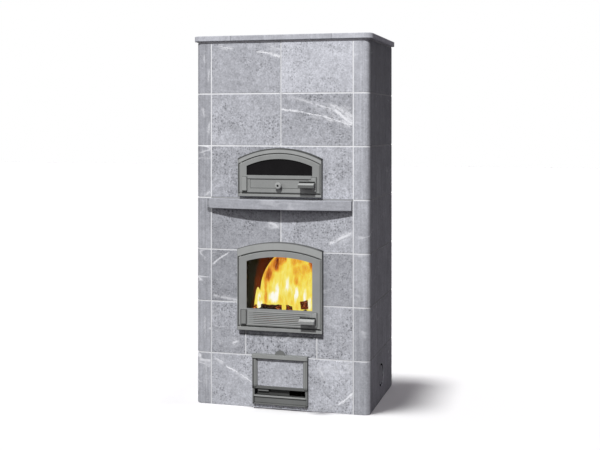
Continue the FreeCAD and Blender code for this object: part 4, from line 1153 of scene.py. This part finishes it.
@dataclass
class StoneShell:
    """The stone courses, the shelf, the cap and the pointing, with the painted shade, shadows and light on
    the stone.

    The cuts are the X of upright joints. A slab course is taller than the heater, so a slab is one stone.
    """

    half_cut: float = 0.0
    sill_cut: float = 0.135
    head_cut: float = 0.19
    cap_cuts: Pair = (-0.267, 0.27)
    cap_seam: float = 0.0012
    slab_course: float = 9.0
    fire_edge: Zone = Zone((-0.21, -0.3086, 0.40), (0.21, -0.20, 0.87), 0.05)
    oven_edge: Zone = Zone((-0.21, -0.3086, 1.08), (0.21, -0.20, 1.34), 0.08)
    # Painted light: the stone strip under the plinth is lightened where the plinth's shadow falls.
    painted_light_under_plinth: Zone = Zone((-0.1465, -0.32, -0.01), (0.1465, -0.30, 0.0215), 1.9)
    # Painted shadow under the fire door frame, in two bands that fade out at their feet.
    painted_shadow_under_frame: Zone = Zone((-0.2225, -0.32, 0.364), (0.2255, -0.305, 0.402), 0.62, 0.012)
    painted_shadow_band_foot: Zone = Zone((-0.2225, -0.32, 0.3605), (0.2255, -0.305, 0.3765), 0.42, 0.010)
    # Painted shade in the bore round the sweep plug and in the plug's groove.
    painted_shade_plug_bore: Zone = Zone((0.30, -0.0606, 0.0714), (0.4614, 0.0606, 0.1926), 0.12)
    painted_shade_plug_groove: Zone = Zone((0.30, -0.0606, 0.0714), (0.4525, 0.0606, 0.1926), 0.12)
    # Painted shadow on the left slab beside the shelf's left end and under it.
    painted_shadow_shelf_end: tuple[Zone, ...] = (
        Zone((-0.4005, -0.32, 1.010), (-0.3930, -0.29, 1.070), 0.62),
        Zone((-0.3970, -0.32, 0.996), (-0.380, -0.29, 1.025), 0.50, 0.008),
    )
    strip_veins: tuple[Vein, ...] = (
        Vein((-0.424, 1.830), (-0.414, 1.770), 0.006, 0.45, 0.020, (0.02, 0.02)),
        Vein((-0.385, 1.760), (-0.400, 1.670), 0.005, 0.60, 0.014, (0.03, 0.03)),
        Vein((-0.427, 1.555), (-0.414, 1.490), 0.006, 0.45, 0.020, (0.02, 0.02)),
        Vein((-0.385, 1.480), (-0.398, 1.395), 0.005, 0.60, 0.014, (0.03, 0.03)),
        Vein((-0.427, 1.335), (-0.412, 1.285), 0.005, 0.45, 0.018, (0.02, 0.02)),
        Vein((-0.420, 1.085), (-0.384, 1.114), 0.007, 0.55, 0.016, (0.02, 0.01)),
        Vein((-0.412, 0.470), (-0.416, 0.330), 0.004, 0.40, 0.020, (0.04, 0.04)),
        Vein((-0.404, 0.250), (-0.410, 0.060), 0.004, 0.35, 0.024, (0.05, 0.05)),
    )

    def courses(self) -> tuple[Soapstone, ...]:
        """Chooses the tone, veins and shaded places of each front course.

        Returns:
            The seven courses from the floor up.
        """
        middle = (self.half_cut,)
        sill = (-self.sill_cut, self.sill_cut)
        head = (-self.head_cut, self.head_cut)
        return (
            Soapstone("stone_course_1", (1.11, 1.0, 1.16), sill, (
                Vein((-0.298, 0.206), (-0.230, 0.176), 0.0065, 1.0, 0.015, (0.01, 0.01)),
                Vein((-0.245, 0.183), (-0.150, 0.124), 0.004, 0.9, 0.02, (0.01, 0.02)),
                Vein((-0.372, 0.250), (-0.300, 0.218), 0.004, 0.6, 0.03),
                Vein((0.288, 0.034), (0.380, 0.107), 0.006, 0.95, 0.03, (0.03, 0.003)),
                Vein((0.19, 0.235), (0.245, 0.150), 0.006, 0.45, 0.03, (0.03, 0.03)),
            ), bold=1.2, zones=(self.painted_light_under_plinth,), seed=1.0),
            Soapstone("stone_course_2", (0.95, 1.0, 1.06), head, (
                Vein((-0.27, 0.315), (-0.22, 0.335), 0.008, 0.7, 0.03),
            ), streak=0.07, bold=1.4, zones=(self.fire_edge, self.painted_shadow_under_frame, self.painted_shadow_band_foot), seed=2.0),
            Soapstone("stone_course_3", (0.80, 0.92), middle, (
                Vein((-0.27, 0.80), (-0.376, 0.725), 0.006, 0.7),
                Vein((-0.376, 0.565), (-0.19, 0.548), 0.01, 0.5, 0.02),
            ), zones=(self.fire_edge,), seed=3.0),
            Soapstone("stone_course_4", (0.86, 1.10), middle, (
                Vein((0.25, 0.85), (0.378, 0.915), 0.011, 0.85, 0.03),
                Vein((-0.075, 0.958), (-0.003, 0.925), 0.013, 0.7, 0.05),
            ), bold=1.25, zones=(self.fire_edge,), seed=4.0),
            Soapstone("stone_course_5", (1.02, 1.19), middle, streak=0.07, bold=1.2, zones=(self.oven_edge,),
                      seed=5.0),
            Soapstone("stone_course_6", (1.17, 1.03), middle, (
                Vein((0.002, 1.533), (0.105, 1.521), 0.007, 1.0, 0.015, (0.002, 0.02)),
                Vein((0.085, 1.5245), (0.230, 1.497), 0.0038, 1.0, 0.0, (0.02, 0.02)),
                Vein((0.210, 1.501), (0.376, 1.455), 0.0045, 1.0, 0.025, (0.02, 0.004)),
                Vein((0.030, 1.609), (0.200, 1.556), 0.003, 0.6, 0.02, (0.03, 0.03)),
                Vein((0.160, 1.566), (0.320, 1.520), 0.004, 0.8, 0.03, (0.05, 0.03)),
                Vein((0.235, 1.572), (0.378, 1.496), 0.008, 0.75, 0.05, (0.05, 0.004)),
                Vein((0.250, 1.550), (0.378, 1.462), 0.012, 1.0, 0.055, (0.05, 0.004)),
            ), bold=1.15, seed=6.0),
            Soapstone("stone_course_7", (1.11, 1.42), middle, (
                Vein((-0.349, 1.866), (-0.244, 1.851), 0.0035, 0.8, 0.02, (0.03, 0.03)),
                Vein((-0.137, 1.831), (-0.045, 1.8195), 0.005, 1.0, 0.018, (0.01, 0.01)),
                Vein((-0.060, 1.821), (-0.003, 1.807), 0.009, 1.0, 0.018, (0.01, 0.003)),
                Vein((-0.100, 1.872), (-0.003, 1.842), 0.004, 0.5, 0.04, (0.04, 0.003)),
            ), seed=7.0),
        )

    def sides(self) -> None:
        """Dresses the side slabs and the sweep plugs; the left slab's front strip has veins and a painted
        shadow at the shelf's end.
        """
        for label, rise, drift, sign in (("left", (0.94, 0.94), 1.0, -1), ("right", (0.84, 1.26), 0.5, 1)):
            for kind, zone in (("side_stones", self.painted_shade_plug_bore), ("sweep_plug", self.painted_shade_plug_groove)):
                zones: tuple[Zone, ...] = (zone if sign > 0 else zone.mirrored(),)
                veins: tuple[Vein, ...] = ()
                if kind == "side_stones" and sign < 0:
                    zones += self.painted_shadow_shelf_end
                    veins = self.strip_veins
                stone = Soapstone(
                    f"{kind}_{label}_stone", veins=veins, spread=0.03, drift=drift, streak=0.15, fleck=0.25,
                    bold=0.7, rise=rise, side_painted_shade=(1.20, 0.68), zones=zones, seed=25.0 + sign,
                )
                dress(stone, f"{kind}_{label}")

    def slabs(self) -> None:
        """Dresses the shelf, the cap and the drawer's facing, which are single slabs."""
        shelf = Soapstone(
            "shelf_stone", (0.96,), streak=0.09, fleck=0.15, bold=0.5, way=(3, 95, 120),
            course=self.slab_course, seed=60.0,
        )
        dress(shelf, "shelf_stone")
        half = self.cap_seam
        seams = tuple(Zone((x - half, -0.4, 1.88), (x + half, -0.3, 1.92), 0.45) for x in self.cap_cuts)
        cap = Soapstone(
            "cap_stone", (1.30, 1.24, 1.32), self.cap_cuts, streak=0.08, fleck=0.15, bold=0.6, zones=seams,
            course=self.slab_course, seed=61.0,
        )
        dress(cap, "cap_slab")
        facing = Soapstone("ash_facing_stone", (1.08,), course=self.slab_course, seed=62.0)
        dress(facing, "ash_front_stone")

    def build(self) -> None:
        """Dresses every stone and the pointing."""
        for index, finish in enumerate(self.courses(), 1):
            dress(finish, f"front_course_{index}")
        self.sides()
        dress(Soapstone("back_stone", spread=0.06, seed=40.0), "back_stones", "back_base_stone")
        self.slabs()
        dress(Mortar(), "mortar_joints")


@dataclass
class Core:
    """The stones inside, the boards and the flue collar."""

    pit_soot: float = 0.55
    oven_soot: float = 0.6

    def build(self) -> None:
        """Dresses the core."""
        dress(CoreStone("core_stone"), "base_slab", "core_lid", "lid_corbels")
        dress(CoreStone("ash_pit_stone", soot=self.pit_soot), "ash_pit_walls")
        dress(SootedStone(), "firebox_walls", "hearth_slab")
        dress(CoreStone("oven_stone", soot=self.oven_soot), "oven_floor", "oven_walls", "oven_roof")
        dress(FibreBoard(), "rear_board", "lid_insulation")
        dress(BareMetal("grate_iron", (0.05, 0.045, 0.042), 0.75, (80, 80, 80)), "grate")
        dress(BareMetal("collar_steel", (0.23, 0.235, 0.24), 0.5, (14, 14, 120)), "flue_collar")


@dataclass
class Doors:
    """The fire door, the oven door, the ash drawer and the plinth, with the painted shade, shadows and light
    on their paint.
    """

    # Painted shade along the outer edges of the door frames.
    fire_rim: Rim = Rim(half=0.2255, head=0.8555, rise=0.038)
    oven_rim: Rim = Rim(half=0.222, head=1.3365, rise=0.054, width=0.009, tone=0.22)
    # Painted shade in the rebates round the leaves and in the window reveals.
    painted_shade_fire_rebate: Zone = Zone((-0.2118, -0.3394, 0.0), (0.2118, -0.325, 2.0), 0.30)
    painted_shade_oven_rebate: Zone = Zone((-0.2118, -0.3394, 0.0), (0.2118, -0.325, 2.0), 0.75)
    # Painted shade on the right side walls of the frames.
    painted_shade_right_wall: Zone = Zone((0.2, -0.3412, 0.0), (0.3, -0.30, 2.0), 0.40)
    sills: tuple[Zone, ...] = (
        Zone((-0.3, -0.36, 0.39), (0.3, -0.33, 0.4235), 0.80),
        Zone((-0.3, -0.36, 1.08), (0.3, -0.33, 1.1075), 0.82),
    )
    # Painted shadows beside and under the hinge plates.
    painted_shadows_by_hinge_plates: tuple[Zone, ...] = (
        Zone((-0.2085, -0.35, 0.42), (-0.1998, -0.33, 0.5065), 0.46),
        Zone((-0.201, -0.35, 0.424), (-0.174, -0.33, 0.4350), 0.45),
        Zone((-0.1975, -0.35, 1.108), (-0.1705, -0.33, 1.1190), 0.45),
    )
    hinge_plate: Zone = Zone((-0.21, -0.36, 0.40), (0.0, -0.33, 0.51), 0.72)
    # The strip behind each grip is painted nearly black, and the grips' fronts are painted darker as painted
    # shade.
    grip_light_and_shade: tuple[Zone, ...] = (
        Zone((-0.3, -0.3642, 0.0), (0.3, -0.3618, 2.0), 0.07),
        Zone((-0.3, -0.40, 0.0), (0.3, -0.3913, 1.0), 0.55),
        Zone((-0.3, -0.40, 1.0), (0.3, -0.3913, 2.0), 0.30),
    )
    grille_border: float = 0.0045
    grille_face: float = 0.0015
    grille_tone: float = 0.8
    # Painted shade in the dish of the knob.
    painted_shade_knob_dish: Zone = Zone((-0.0061, -0.3645, 1.1398), (0.0061, -0.362, 1.1522), 0.12)
    # Painted shade on the drawer front: its left stile, a thin line near its right edge, and its right edge
    # and side.
    painted_shade_drawer_stiles: tuple[Zone, ...] = (
        Zone((-0.148, -0.36, 0.10), (-0.1345, -0.30, 0.2594), 0.42),
        Zone((0.1335, -0.36, 0.10), (0.1385, -0.30, 0.2594), 0.62),
        Zone((0.1430, -0.36, 0.10), (0.1600, -0.30, 0.2594), 0.50),
    )
    drawer_foot: tuple[Zone, ...] = (
        Zone((-0.2, -0.36, 0.09), (0.2, -0.30, 0.1215), 0.72),
        Zone((-0.2, -0.36, 0.09), (0.2, -0.30, 0.1145), 0.48),
    )
    # Painted shade on the recessed plinth panel and on the walls of the air slot.
    painted_shade_plinth_panel: Zone = Zone((-0.14, -0.3216, 0.02), (0.14, -0.30, 0.062), 0.50)
    painted_shade_plinth_slot: Zone = Zone((-0.136, -0.3295, 0.0698), (0.136, -0.30, 0.1022), 0.15)
    plinth_foot: Zone = Zone((-0.15, -0.35, 0.0), (0.15, -0.30, 0.0305), 0.5)
    plinth_edges: tuple[Zone, ...] = (
        Zone((-0.15, -0.35, 0.0), (-0.136, -0.30, 0.11), 0.55),
        Zone((0.136, -0.35, 0.0), (0.15, -0.30, 0.11), 0.55),
    )
    # Painted shade on the back of the air slide, inside the slot.
    painted_shade_slide_back: Zone = Zone((-0.3, -0.3125, 0.0), (0.3, -0.20, 0.2), 0.3)

    def leaves(self) -> None:
        """Dresses the frames, the leaves and what is fixed on them."""
        doors = (("fire", self.fire_rim, self.painted_shade_fire_rebate), ("oven", self.oven_rim, self.painted_shade_oven_rebate))
        for door, rim, rebate in doors:
            frame_paint = DoorPaint(f"{door}_frame_paint", 1.06, (rim, self.painted_shade_right_wall, *self.sills))
            dress(frame_paint, f"{door}_door_frame")
            leaf_paint = DoorPaint(f"{door}_leaf_paint", 0.85, (rebate, *self.painted_shadows_by_hinge_plates))
            dress(leaf_paint, f"{door}_door_leaf")
        dress(DoorPaint("plate_paint", 0.94, (self.hinge_plate,)), "fire_corner_plates", "oven_corner_plates")
        # The grips are painted lighter overall, a painted highlight on their tops.
        dress(DoorPaint("grip_paint", 1.38, self.grip_light_and_shade), "fire_handle", "oven_handle")
        low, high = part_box("fire_air_grille")
        border = self.grille_border
        # Painted shade on the grille's face between its ribs.
        painted_shade_between_ribs = Zone(
            (low[0] + border, low[1] + self.grille_face, low[2] + border),
            (high[0] - border, 0.0, high[2] - border),
            self.grille_tone,
        )
        dress(DoorPaint("grille_paint", 1.06, (painted_shade_between_ribs,)), "fire_air_grille")
        dress(DoorPaint("knob_paint", 1.10, (self.painted_shade_knob_dish,)), "oven_vent_knob")

    def drawer(self) -> None:
        """Dresses the drawer's front, its tab, the plinth and the air slide."""
        drawer_paint = DoorPaint("drawer_paint", 0.84, (*self.painted_shade_drawer_stiles, *self.drawer_foot))
        dress(drawer_paint, "ash_front")
        dress(DoorPaint("tab_paint", 0.45), "ash_pull_tab")
        shades = (self.painted_shade_plinth_panel, self.painted_shade_plinth_slot, self.plinth_foot, *self.plinth_edges)
        dress(DoorPaint("plinth_paint", 0.92, shades), "plinth_frame")
        # The slide is painted darker all over, as painted shade in the slot.
        dress(DoorPaint("slide_paint", 0.62, (self.painted_shade_slide_back,)), "air_slide")

    def fittings(self) -> None:
        """Dresses the seals, the bare steel and the panes."""
        dress(FibreRope(), "fire_rope_seal", "oven_rope_seal")
        gasket = FibreRope("black_gasket", (0.03, 0.03, 0.028))
        dress(gasket, "fire_glass_gasket", "oven_glass_gasket")
        dress(
            BareMetal("bright_steel", (0.42, 0.42, 0.41), 0.42, (18, 18, 160)),
            "fire_latch_spindle", "oven_latch_spindle", "fire_glass_clips", "oven_glass_clips",
            "frame_screws", "hinge_pins", "oven_vent_disc",
        )
        tray = BareMetal("tray_steel", (0.16, 0.155, 0.15), 0.6, (22, 22, 140))
        dress(tray, "ash_pan", "drawer_rails")
        guide = BareMetal("black_steel", (0.10, 0.10, 0.10), 0.7, (22, 22, 140))
        dress(guide, "air_slide_guide")
        dress(ClearGlass(), "fire_glass")
        dress(DarkGlass(), "oven_glass")

    def build(self) -> None:
        """Dresses the doors and all that they carry."""
        self.leaves()
        self.drawer()
        self.fittings()


@dataclass
class FireBed:
    """Firewood on the grate, embers under it and the flames over it.

    The feet of the flames climb towards the front by the view fall, the slope at which the fire is looked at.
    """

    floor: float = 0.43
    log_radius: float = 0.04
    log_length: float = 0.21
    log_sides: int = 20
    log_cuts: int = 14
    log_rings: Pair = (0.14, 0.3)
    log_split: float = 0.45
    billet_side: float = 0.042
    billet_length: float = 0.17
    billet_cuts: int = 9
    billet_rings: Pair = (0.16, 0.18)
    end_facing: float = 0.9
    worn_edge: float = 0.003
    wood_angle: float = 35.0
    tongue_sides: int = 10
    tongue_tip: float = 0.0005
    tongue_flat: float = 0.8
    flame_angle: float = 80.0
    flame_foot: float = 0.010
    edge_foot: float = 0.036
    view_fall: float = 0.19
    ember_radius: float = 0.013
    ember_wear: float = 0.006
    ember_base: float = 0.006
    ember_angle: float = 30.0
    ember_lift: float = 0.0055
    ember_count: int = 46
    ember_across: Pair = (-0.15, 0.15)
    ember_deep: Pair = (-0.05, 0.10)
    ember_sizes: Pair = (0.7, 1.25)
    seed: int = 11

    def ring_ends(self, piece: bpy.types.Object, axis: int, length: float, cuts: int, rings: Pair) -> None:
        """Divides a blank along its length and cuts two rings into each end.

        Args:
            piece: The blank, in edit mode.
            axis: Number of the axis that it lies along.
            length: Its length.
            cuts: Cuts along its length.
            rings: Widths of the rings.
        """
        def is_long(edge: Shape) -> bool:
            """Whether an edge runs along the blank."""
            return abs(edge.verts[0].co[axis] - edge.verts[1].co[axis]) > length / 2

        def is_end(face: Shape) -> bool:
            """Whether a face is an end of the blank."""
            return abs(face.normal[axis]) > self.end_facing

        Bench.pick(piece, Element.EDGE, is_long)
        bpy.ops.mesh.subdivide(number_cuts=cuts)
        Bench.pick(piece, Element.FACE, is_end)
        for ring in rings:
            bpy.ops.mesh.inset(thickness=ring, use_individual=True)
        bpy.ops.mesh.select_all(action="SELECT")

    def wear(self, piece: bpy.types.Object, offset: float, uniform: float, normal: float,
             angle: float) -> None:
        """Knocks a blank out of true and wears its edges.

        Args:
            piece: The blank, in edit mode with all selected.
            offset: How far a corner moves.
            uniform: How alike the moves are.
            normal: How far they follow the surface's facing.
            angle: Edges sharper than this many degrees are worn.
        """
        bpy.ops.transform.vertex_random(offset=offset, uniform=uniform, normal=normal, seed=self.seed)
        bpy.ops.object.mode_set(mode="OBJECT")
        Bench.apply(
            piece, Tool.BEVEL, width=self.worn_edge, segments=2, limit_method="ANGLE",
            angle_limit=math.radians(angle),
        )
        Bench.settle(piece, self.wood_angle)

    def log_blank(self) -> bpy.types.Object:
        """Models one split log along X at the origin.

        Returns:
            The log.
        """
        radius = self.log_radius
        Bench.clear()
        bpy.ops.mesh.primitive_cylinder_add(
            vertices=self.log_sides, radius=radius, depth=self.log_length, rotation=(0, math.pi / 2, 0)
        )
        piece = Bench.begin("log_blank")
        bpy.ops.object.mode_set(mode="OBJECT")
        bpy.ops.object.transform_apply(location=True, rotation=True, scale=True)
        bpy.ops.object.mode_set(mode="EDIT")
        bark, heart = self.log_rings
        self.ring_ends(piece, 0, self.log_length, self.log_cuts, (radius * bark, radius * heart))
        split = (0, 0, -radius * self.log_split)
        bpy.ops.mesh.bisect(plane_co=split, plane_no=(0, 0.25, 1), use_fill=True, clear_inner=True)
        bpy.ops.mesh.select_all(action="SELECT")
        self.wear(piece, offset=0.0035, uniform=0.3, normal=0.4, angle=50)
        return piece

    def billet_blank(self) -> bpy.types.Object:
        """Models one square split billet along Y at the origin.

        Returns:
            The billet.
        """
        side = self.billet_side
        Bench.clear()
        bpy.ops.mesh.primitive_cube_add(size=1)
        piece = Bench.begin("billet")
        bpy.ops.mesh.select_all(action="SELECT")
        bpy.ops.transform.resize(value=(side, self.billet_length, side), center_override=(0, 0, 0))
        outer, inner = self.billet_rings
        self.ring_ends(piece, 1, self.billet_length, self.billet_cuts, (side * outer, side * inner))
        self.wear(piece, offset=0.003, uniform=0.4, normal=0.2, angle=40)
        return piece

    def logs(self) -> bpy.types.Object:
        """Lays the logs across the grate.

        Returns:
            The logs as one piece.
        """
        blank = self.log_blank()
        low = self.floor + 0.034
        places = (
            Bench.place((-0.074, -0.178, self.floor + 0.0385), (3, "Z")),
            Bench.place((0.012, -0.190, self.floor + 0.045), (62, "Y"), size=0.34),
            Bench.place((-0.030, -0.080, low), (-8, "Z"), (140, "X")),
            Bench.place((0.100, -0.120, low), (8, "Z"), (25, "X"), size=0.62),
            Bench.place((0.0, 0.02, low), (12, "Z"), (200, "X")),
        )
        copies = [Bench.copy(blank, f"log_{index}", place) for index, place in enumerate(places)]
        bpy.data.objects.remove(blank)
        whole = Bench.join(copies, "firewood")
        Bench.settle(whole, self.wood_angle)
        return whole

    def billet(self) -> bpy.types.Object:
        """Lays the billet that points to the front, over the logs at the right.

        Returns:
            The billet.
        """
        blank = self.billet_blank()
        place = Bench.place((0.0955, -0.105, self.floor + 0.0835), (-6, "Z"), (-5, "Y"))
        piece = Bench.copy(blank, "firewood_billet", place)
        bpy.data.objects.remove(blank)
        Bench.settle(piece, self.wood_angle)
        return piece

    def tongue(self, name: str, spine: Sequence[Triple]) -> bpy.types.Object:
        """Models one flame tongue up a bent spine in the plane of X and Z.

        Args:
            name: Name of the tongue.
            spine: X, Z and radius of each ring from the foot, and last the tip.

        Returns:
            The tongue.
        """
        Bench.clear()
        left, low, radius = spine[0]
        bpy.ops.mesh.primitive_circle_add(
            vertices=self.tongue_sides, radius=radius, fill_type="NGON", location=(left, 0, low)
        )
        piece = Bench.begin(name)
        bpy.ops.mesh.select_all(action="SELECT")
        bpy.ops.transform.resize(value=(1, self.tongue_flat, 1), center_override=(left, 0, low))
        for x, z, width in spine[1:]:
            bpy.ops.mesh.extrude_region_move(TRANSFORM_OT_translate={"value": (x - left, 0, z - low)})
            width = max(width, self.tongue_tip)
            grow = width / radius
            bpy.ops.transform.resize(value=(grow, grow, 1), center_override=(x, 0, z))
            left, low, radius = x, z, width
        bpy.ops.mesh.merge(type="CENTER")
        bpy.ops.object.mode_set(mode="OBJECT")
        Bench.apply(piece, Tool.SUBDIVISION, levels=2, render_levels=2)
        Bench.settle(piece, self.flame_angle)
        return piece

    def flames(self) -> bpy.types.Object:
        """Sets the two tongues at the left edge, and copies of four kinds over the rest of the bed.

        Returns:
            The flames as one piece.
        """
        foot = self.floor + self.edge_foot
        edge = self.tongue("edge_tongue", (
            (-0.128, foot, 0.050), (-0.125, 0.515, 0.052), (-0.124, 0.575, 0.047), (-0.122, 0.634, 0.042),
            (-0.106, 0.685, 0.038), (-0.078, 0.732, 0.034), (-0.052, 0.765, 0.028), (-0.020, 0.81, 0.018),
            (0.0, 0.85, 0.0),
        ))
        lick = self.tongue("left_lick", (
            (-0.157, foot, 0.027), (-0.161, 0.495, 0.030), (-0.161, 0.530, 0.025), (-0.165, 0.567, 0.0155),
            (-0.169, 0.612, 0.0),
        ))
        tall = self.tongue("tall_tongue", (
            (0, 0, 0.05), (0.004, 0.09, 0.058), (-0.008, 0.18, 0.05), (0.010, 0.27, 0.042),
            (0.032, 0.35, 0.030), (0.040, 0.40, 0.016), (0.052, 0.44, 0.0),
        ))
        broad = self.tongue("broad_tongue", (
            (0, 0, 0.06), (-0.004, 0.07, 0.07), (0.006, 0.15, 0.06), (0.024, 0.22, 0.042),
            (0.03, 0.28, 0.022), (0.044, 0.33, 0.0),
        ))
        slim = self.tongue("slim_tongue", (
            (0, 0, 0.02), (-0.004, 0.05, 0.026), (0.004, 0.10, 0.020), (0.012, 0.15, 0.011),
            (0.012, 0.19, 0.0),
        ))
        wisp = self.tongue("wisp", (
            (0, 0, 0.009), (0.002, 0.022, 0.011), (-0.002, 0.045, 0.007), (0.003, 0.075, 0.0),
        ))
        spots = (
            (tall, -0.060, -0.080, 1.00), (tall, -0.010, -0.060, 1.02), (tall, 0.040, -0.085, 1.00),
            (tall, 0.085, -0.070, 0.98), (tall, 0.120, -0.060, 1.00), (tall, 0.010, -0.010, 1.05),
            (tall, 0.070, -0.020, 1.05), (tall, -0.050, -0.020, 1.02), (broad, -0.080, -0.135, 1.00),
            (broad, -0.020, -0.130, 1.05), (broad, 0.035, -0.140, 1.00), (broad, 0.125, -0.110, 1.05),
            (slim, -0.125, -0.150, 0.95), (slim, -0.045, -0.160, 1.00), (slim, 0.020, -0.165, 0.90),
            (slim, 0.060, -0.160, 1.10), (slim, 0.125, -0.165, 1.00), (slim, 0.140, -0.140, 1.20),
            (wisp, -0.009, -0.226, 1.25), (wisp, 0.047, -0.205, 1.45), (wisp, 0.062, -0.200, 1.30),
            (wisp, 0.140, -0.200, 1.40), (wisp, -0.150, -0.205, 1.20),
        )
        copies = []
        for piece, depth in ((edge, -0.125), (lick, -0.170)):
            copies.append(Bench.copy(piece, f"{piece.name}_placed", Bench.place((0, depth, 0))))
        for index, (kind, x, y, size) in enumerate(spots):
            low = self.floor + self.flame_foot - self.view_fall * y
            # Every third copy is turned round, so that neighbours differ; the tall ones all lean one way.
            turns = ((180, "Z"),) if index % 3 == 1 and kind is not tall else ()
            copies.append(Bench.copy(kind, f"tongue_{index}", Bench.place((x, y, low), *turns, size=size)))
        for spare in (edge, lick, tall, broad, slim, wisp):
            bpy.data.objects.remove(spare)
        whole = Bench.join(copies, "flames")
        Bench.settle(whole, self.flame_angle)
        return whole

    def embers(self) -> bpy.types.Object:
        """Scatters glowing lumps over the grate.

        Returns:
            The lumps as one piece.
        """
        Bench.clear()
        bpy.ops.mesh.primitive_ico_sphere_add(subdivisions=2, radius=self.ember_radius)
        lump = Bench.begin("ember")
        bpy.ops.mesh.select_all(action="SELECT")
        bpy.ops.transform.vertex_random(offset=self.ember_wear, uniform=0.8, normal=0.3, seed=self.seed)
        base = (0, 0, -self.ember_base)
        bpy.ops.mesh.bisect(plane_co=base, plane_no=(0, 0, 1), use_fill=True, clear_inner=True)
        bpy.ops.object.mode_set(mode="OBJECT")
        Bench.settle(lump, self.ember_angle)
        chance = random.Random(self.seed)
        copies = []
        for index in range(self.ember_count):
            spin = Matrix.Rotation(chance.uniform(0, math.tau), 4, "Z")
            x = chance.uniform(*self.ember_across)
            y = chance.uniform(*self.ember_deep)
            spot = Matrix.Translation((x, y, self.floor + self.ember_lift))
            size = Matrix.Scale(chance.uniform(*self.ember_sizes), 4)
            copies.append(Bench.copy(lump, f"ember_{index}", spot @ spin @ size))
        bpy.data.objects.remove(lump)
        return Bench.join(copies, "embers")

    def build(self) -> None:
        """Models, dresses and seats the fire."""
        split_wood = CharredWood(
            "glowing_wood", grain=(50, 20, 50), glow=0.35, char=(0.11, 0.024, 0.010),
            brown=(0.38, 0.095, 0.032),
        )
        for piece, finish in (
            (self.logs(), CharredWood("charred_wood", ash=0.484)),
            (self.billet(), split_wood),
            (self.embers(), CharredWood("ember", grain=(60, 60, 60), glow=0.7)),
            (self.flames(), Flame()),
        ):
            piece.data.materials.clear()
            piece.data.materials.append(finish.make())
            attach(piece, "heater")
            log.info("built %s", piece.name)


@dataclass(frozen=True)
class Lamp:
    """A far soft lamp: its strength, where it stands and how wide it is in degrees, and what it lights.

    The azimuth is counted to the right of the front, the height up from the floor.
    """

    name: str
    strength: float
    azimuth: float
    height: float
    width: float
    reach: Reach

    def hang(self, floor: bpy.types.Object) -> None:
        """Hangs the lamp, and lets it light the floor alone or all but the floor.

        Args:
            floor: The floor.
        """
        data = bpy.data.lights.new(self.name, "SUN")
        data.energy = self.strength
        data.angle = math.radians(self.width)
        lamp = bpy.data.objects.new(self.name, data)
        lamp.rotation_euler = (math.radians(90 - self.height), 0, math.radians(self.azimuth))
        bpy.context.scene.collection.objects.link(lamp)
        group = bpy.data.collections.new(f"{self.name}_reach")
        group.objects.link(floor)
        group.collection_objects[0].light_linking.link_state = self.reach.value
        lamp.light_linking.receiver_collection = group


@dataclass
class Studio:
    """Pale floor, soft light and the level camera, which stands to the right of the front."""

    place: Triple = (1.489, -5.339, 1.459)
    turn: float = 15.42
    lens: float = 61.40
    sensor: float = 36.0
    drop: float = -0.168
    floor_size: float = 60.0
    dim: Triple = (0.172, 0.159, 0.175)
    white: Triple = (1, 1, 1)
    lamps: tuple[Lamp, ...] = (
        Lamp("key", strength=3.32, azimuth=1.0, height=43.5, width=2.5, reach=Reach.HEATER),
        Lamp("fill", strength=0.53, azimuth=-38.0, height=16.0, width=30.0, reach=Reach.HEATER),
        Lamp("back", strength=2.4, azimuth=-140.0, height=32.0, width=20.0, reach=Reach.HEATER),
        Lamp("overhead", strength=2.64, azimuth=-54.2, height=81.2, width=8.8, reach=Reach.FLOOR),
        Lamp("edge", strength=0.2, azimuth=110.0, height=83.5, width=3.2, reach=Reach.FLOOR),
    )

    def camera(self) -> None:
        """Stands the camera."""
        data = bpy.data.cameras.new("camera")
        data.sensor_width = self.sensor
        data.sensor_fit = "HORIZONTAL"
        data.lens = self.lens
        data.shift_y = self.drop
        camera = bpy.data.objects.new("camera", data)
        camera.location = self.place
        camera.rotation_euler = (math.radians(90), 0, math.radians(self.turn))
        bpy.context.scene.collection.objects.link(camera)
        bpy.context.scene.camera = camera

    def floor(self) -> bpy.types.Object:
        """Lays the floor.

        Returns:
            The floor.
        """
        Bench.clear()
        bpy.ops.mesh.primitive_plane_add(size=self.floor_size)
        piece = Bench.begin("floor")
        bpy.ops.mesh.select_all(action="SELECT")
        bpy.ops.mesh.subdivide(number_cuts=3)
        bpy.ops.object.mode_set(mode="OBJECT")
        piece.data.materials.append(PaleFloor().make())
        return piece

    def world(self) -> None:
        """Makes the surroundings white to look at and dim as a light."""
        world = bpy.data.worlds.new("surroundings")
        bpy.context.scene.world = world
        tree = NodeTree(world)
        background = tree.node("Background", {"Color": tree.blended(tree.seen(), self.dim, self.white)})
        tree.node("OutputWorld", {"Surface": background.outputs[0]})

    def build(self) -> None:
        """Sets the studio up."""
        bpy.context.scene.view_settings.view_transform = "Standard"
        self.camera()
        floor = self.floor()
        for lamp in self.lamps:
            lamp.hang(floor)
        self.world()


def main() -> None:
    """Builds the heater's looks in order."""
    logging.basicConfig(level=logging.INFO, format="%(name)s: %(message)s")
    for part in (StoneShell(), Core(), Doors(), FireBed(), Studio()):
        part.build()


if __name__ == "__main__":
    main()
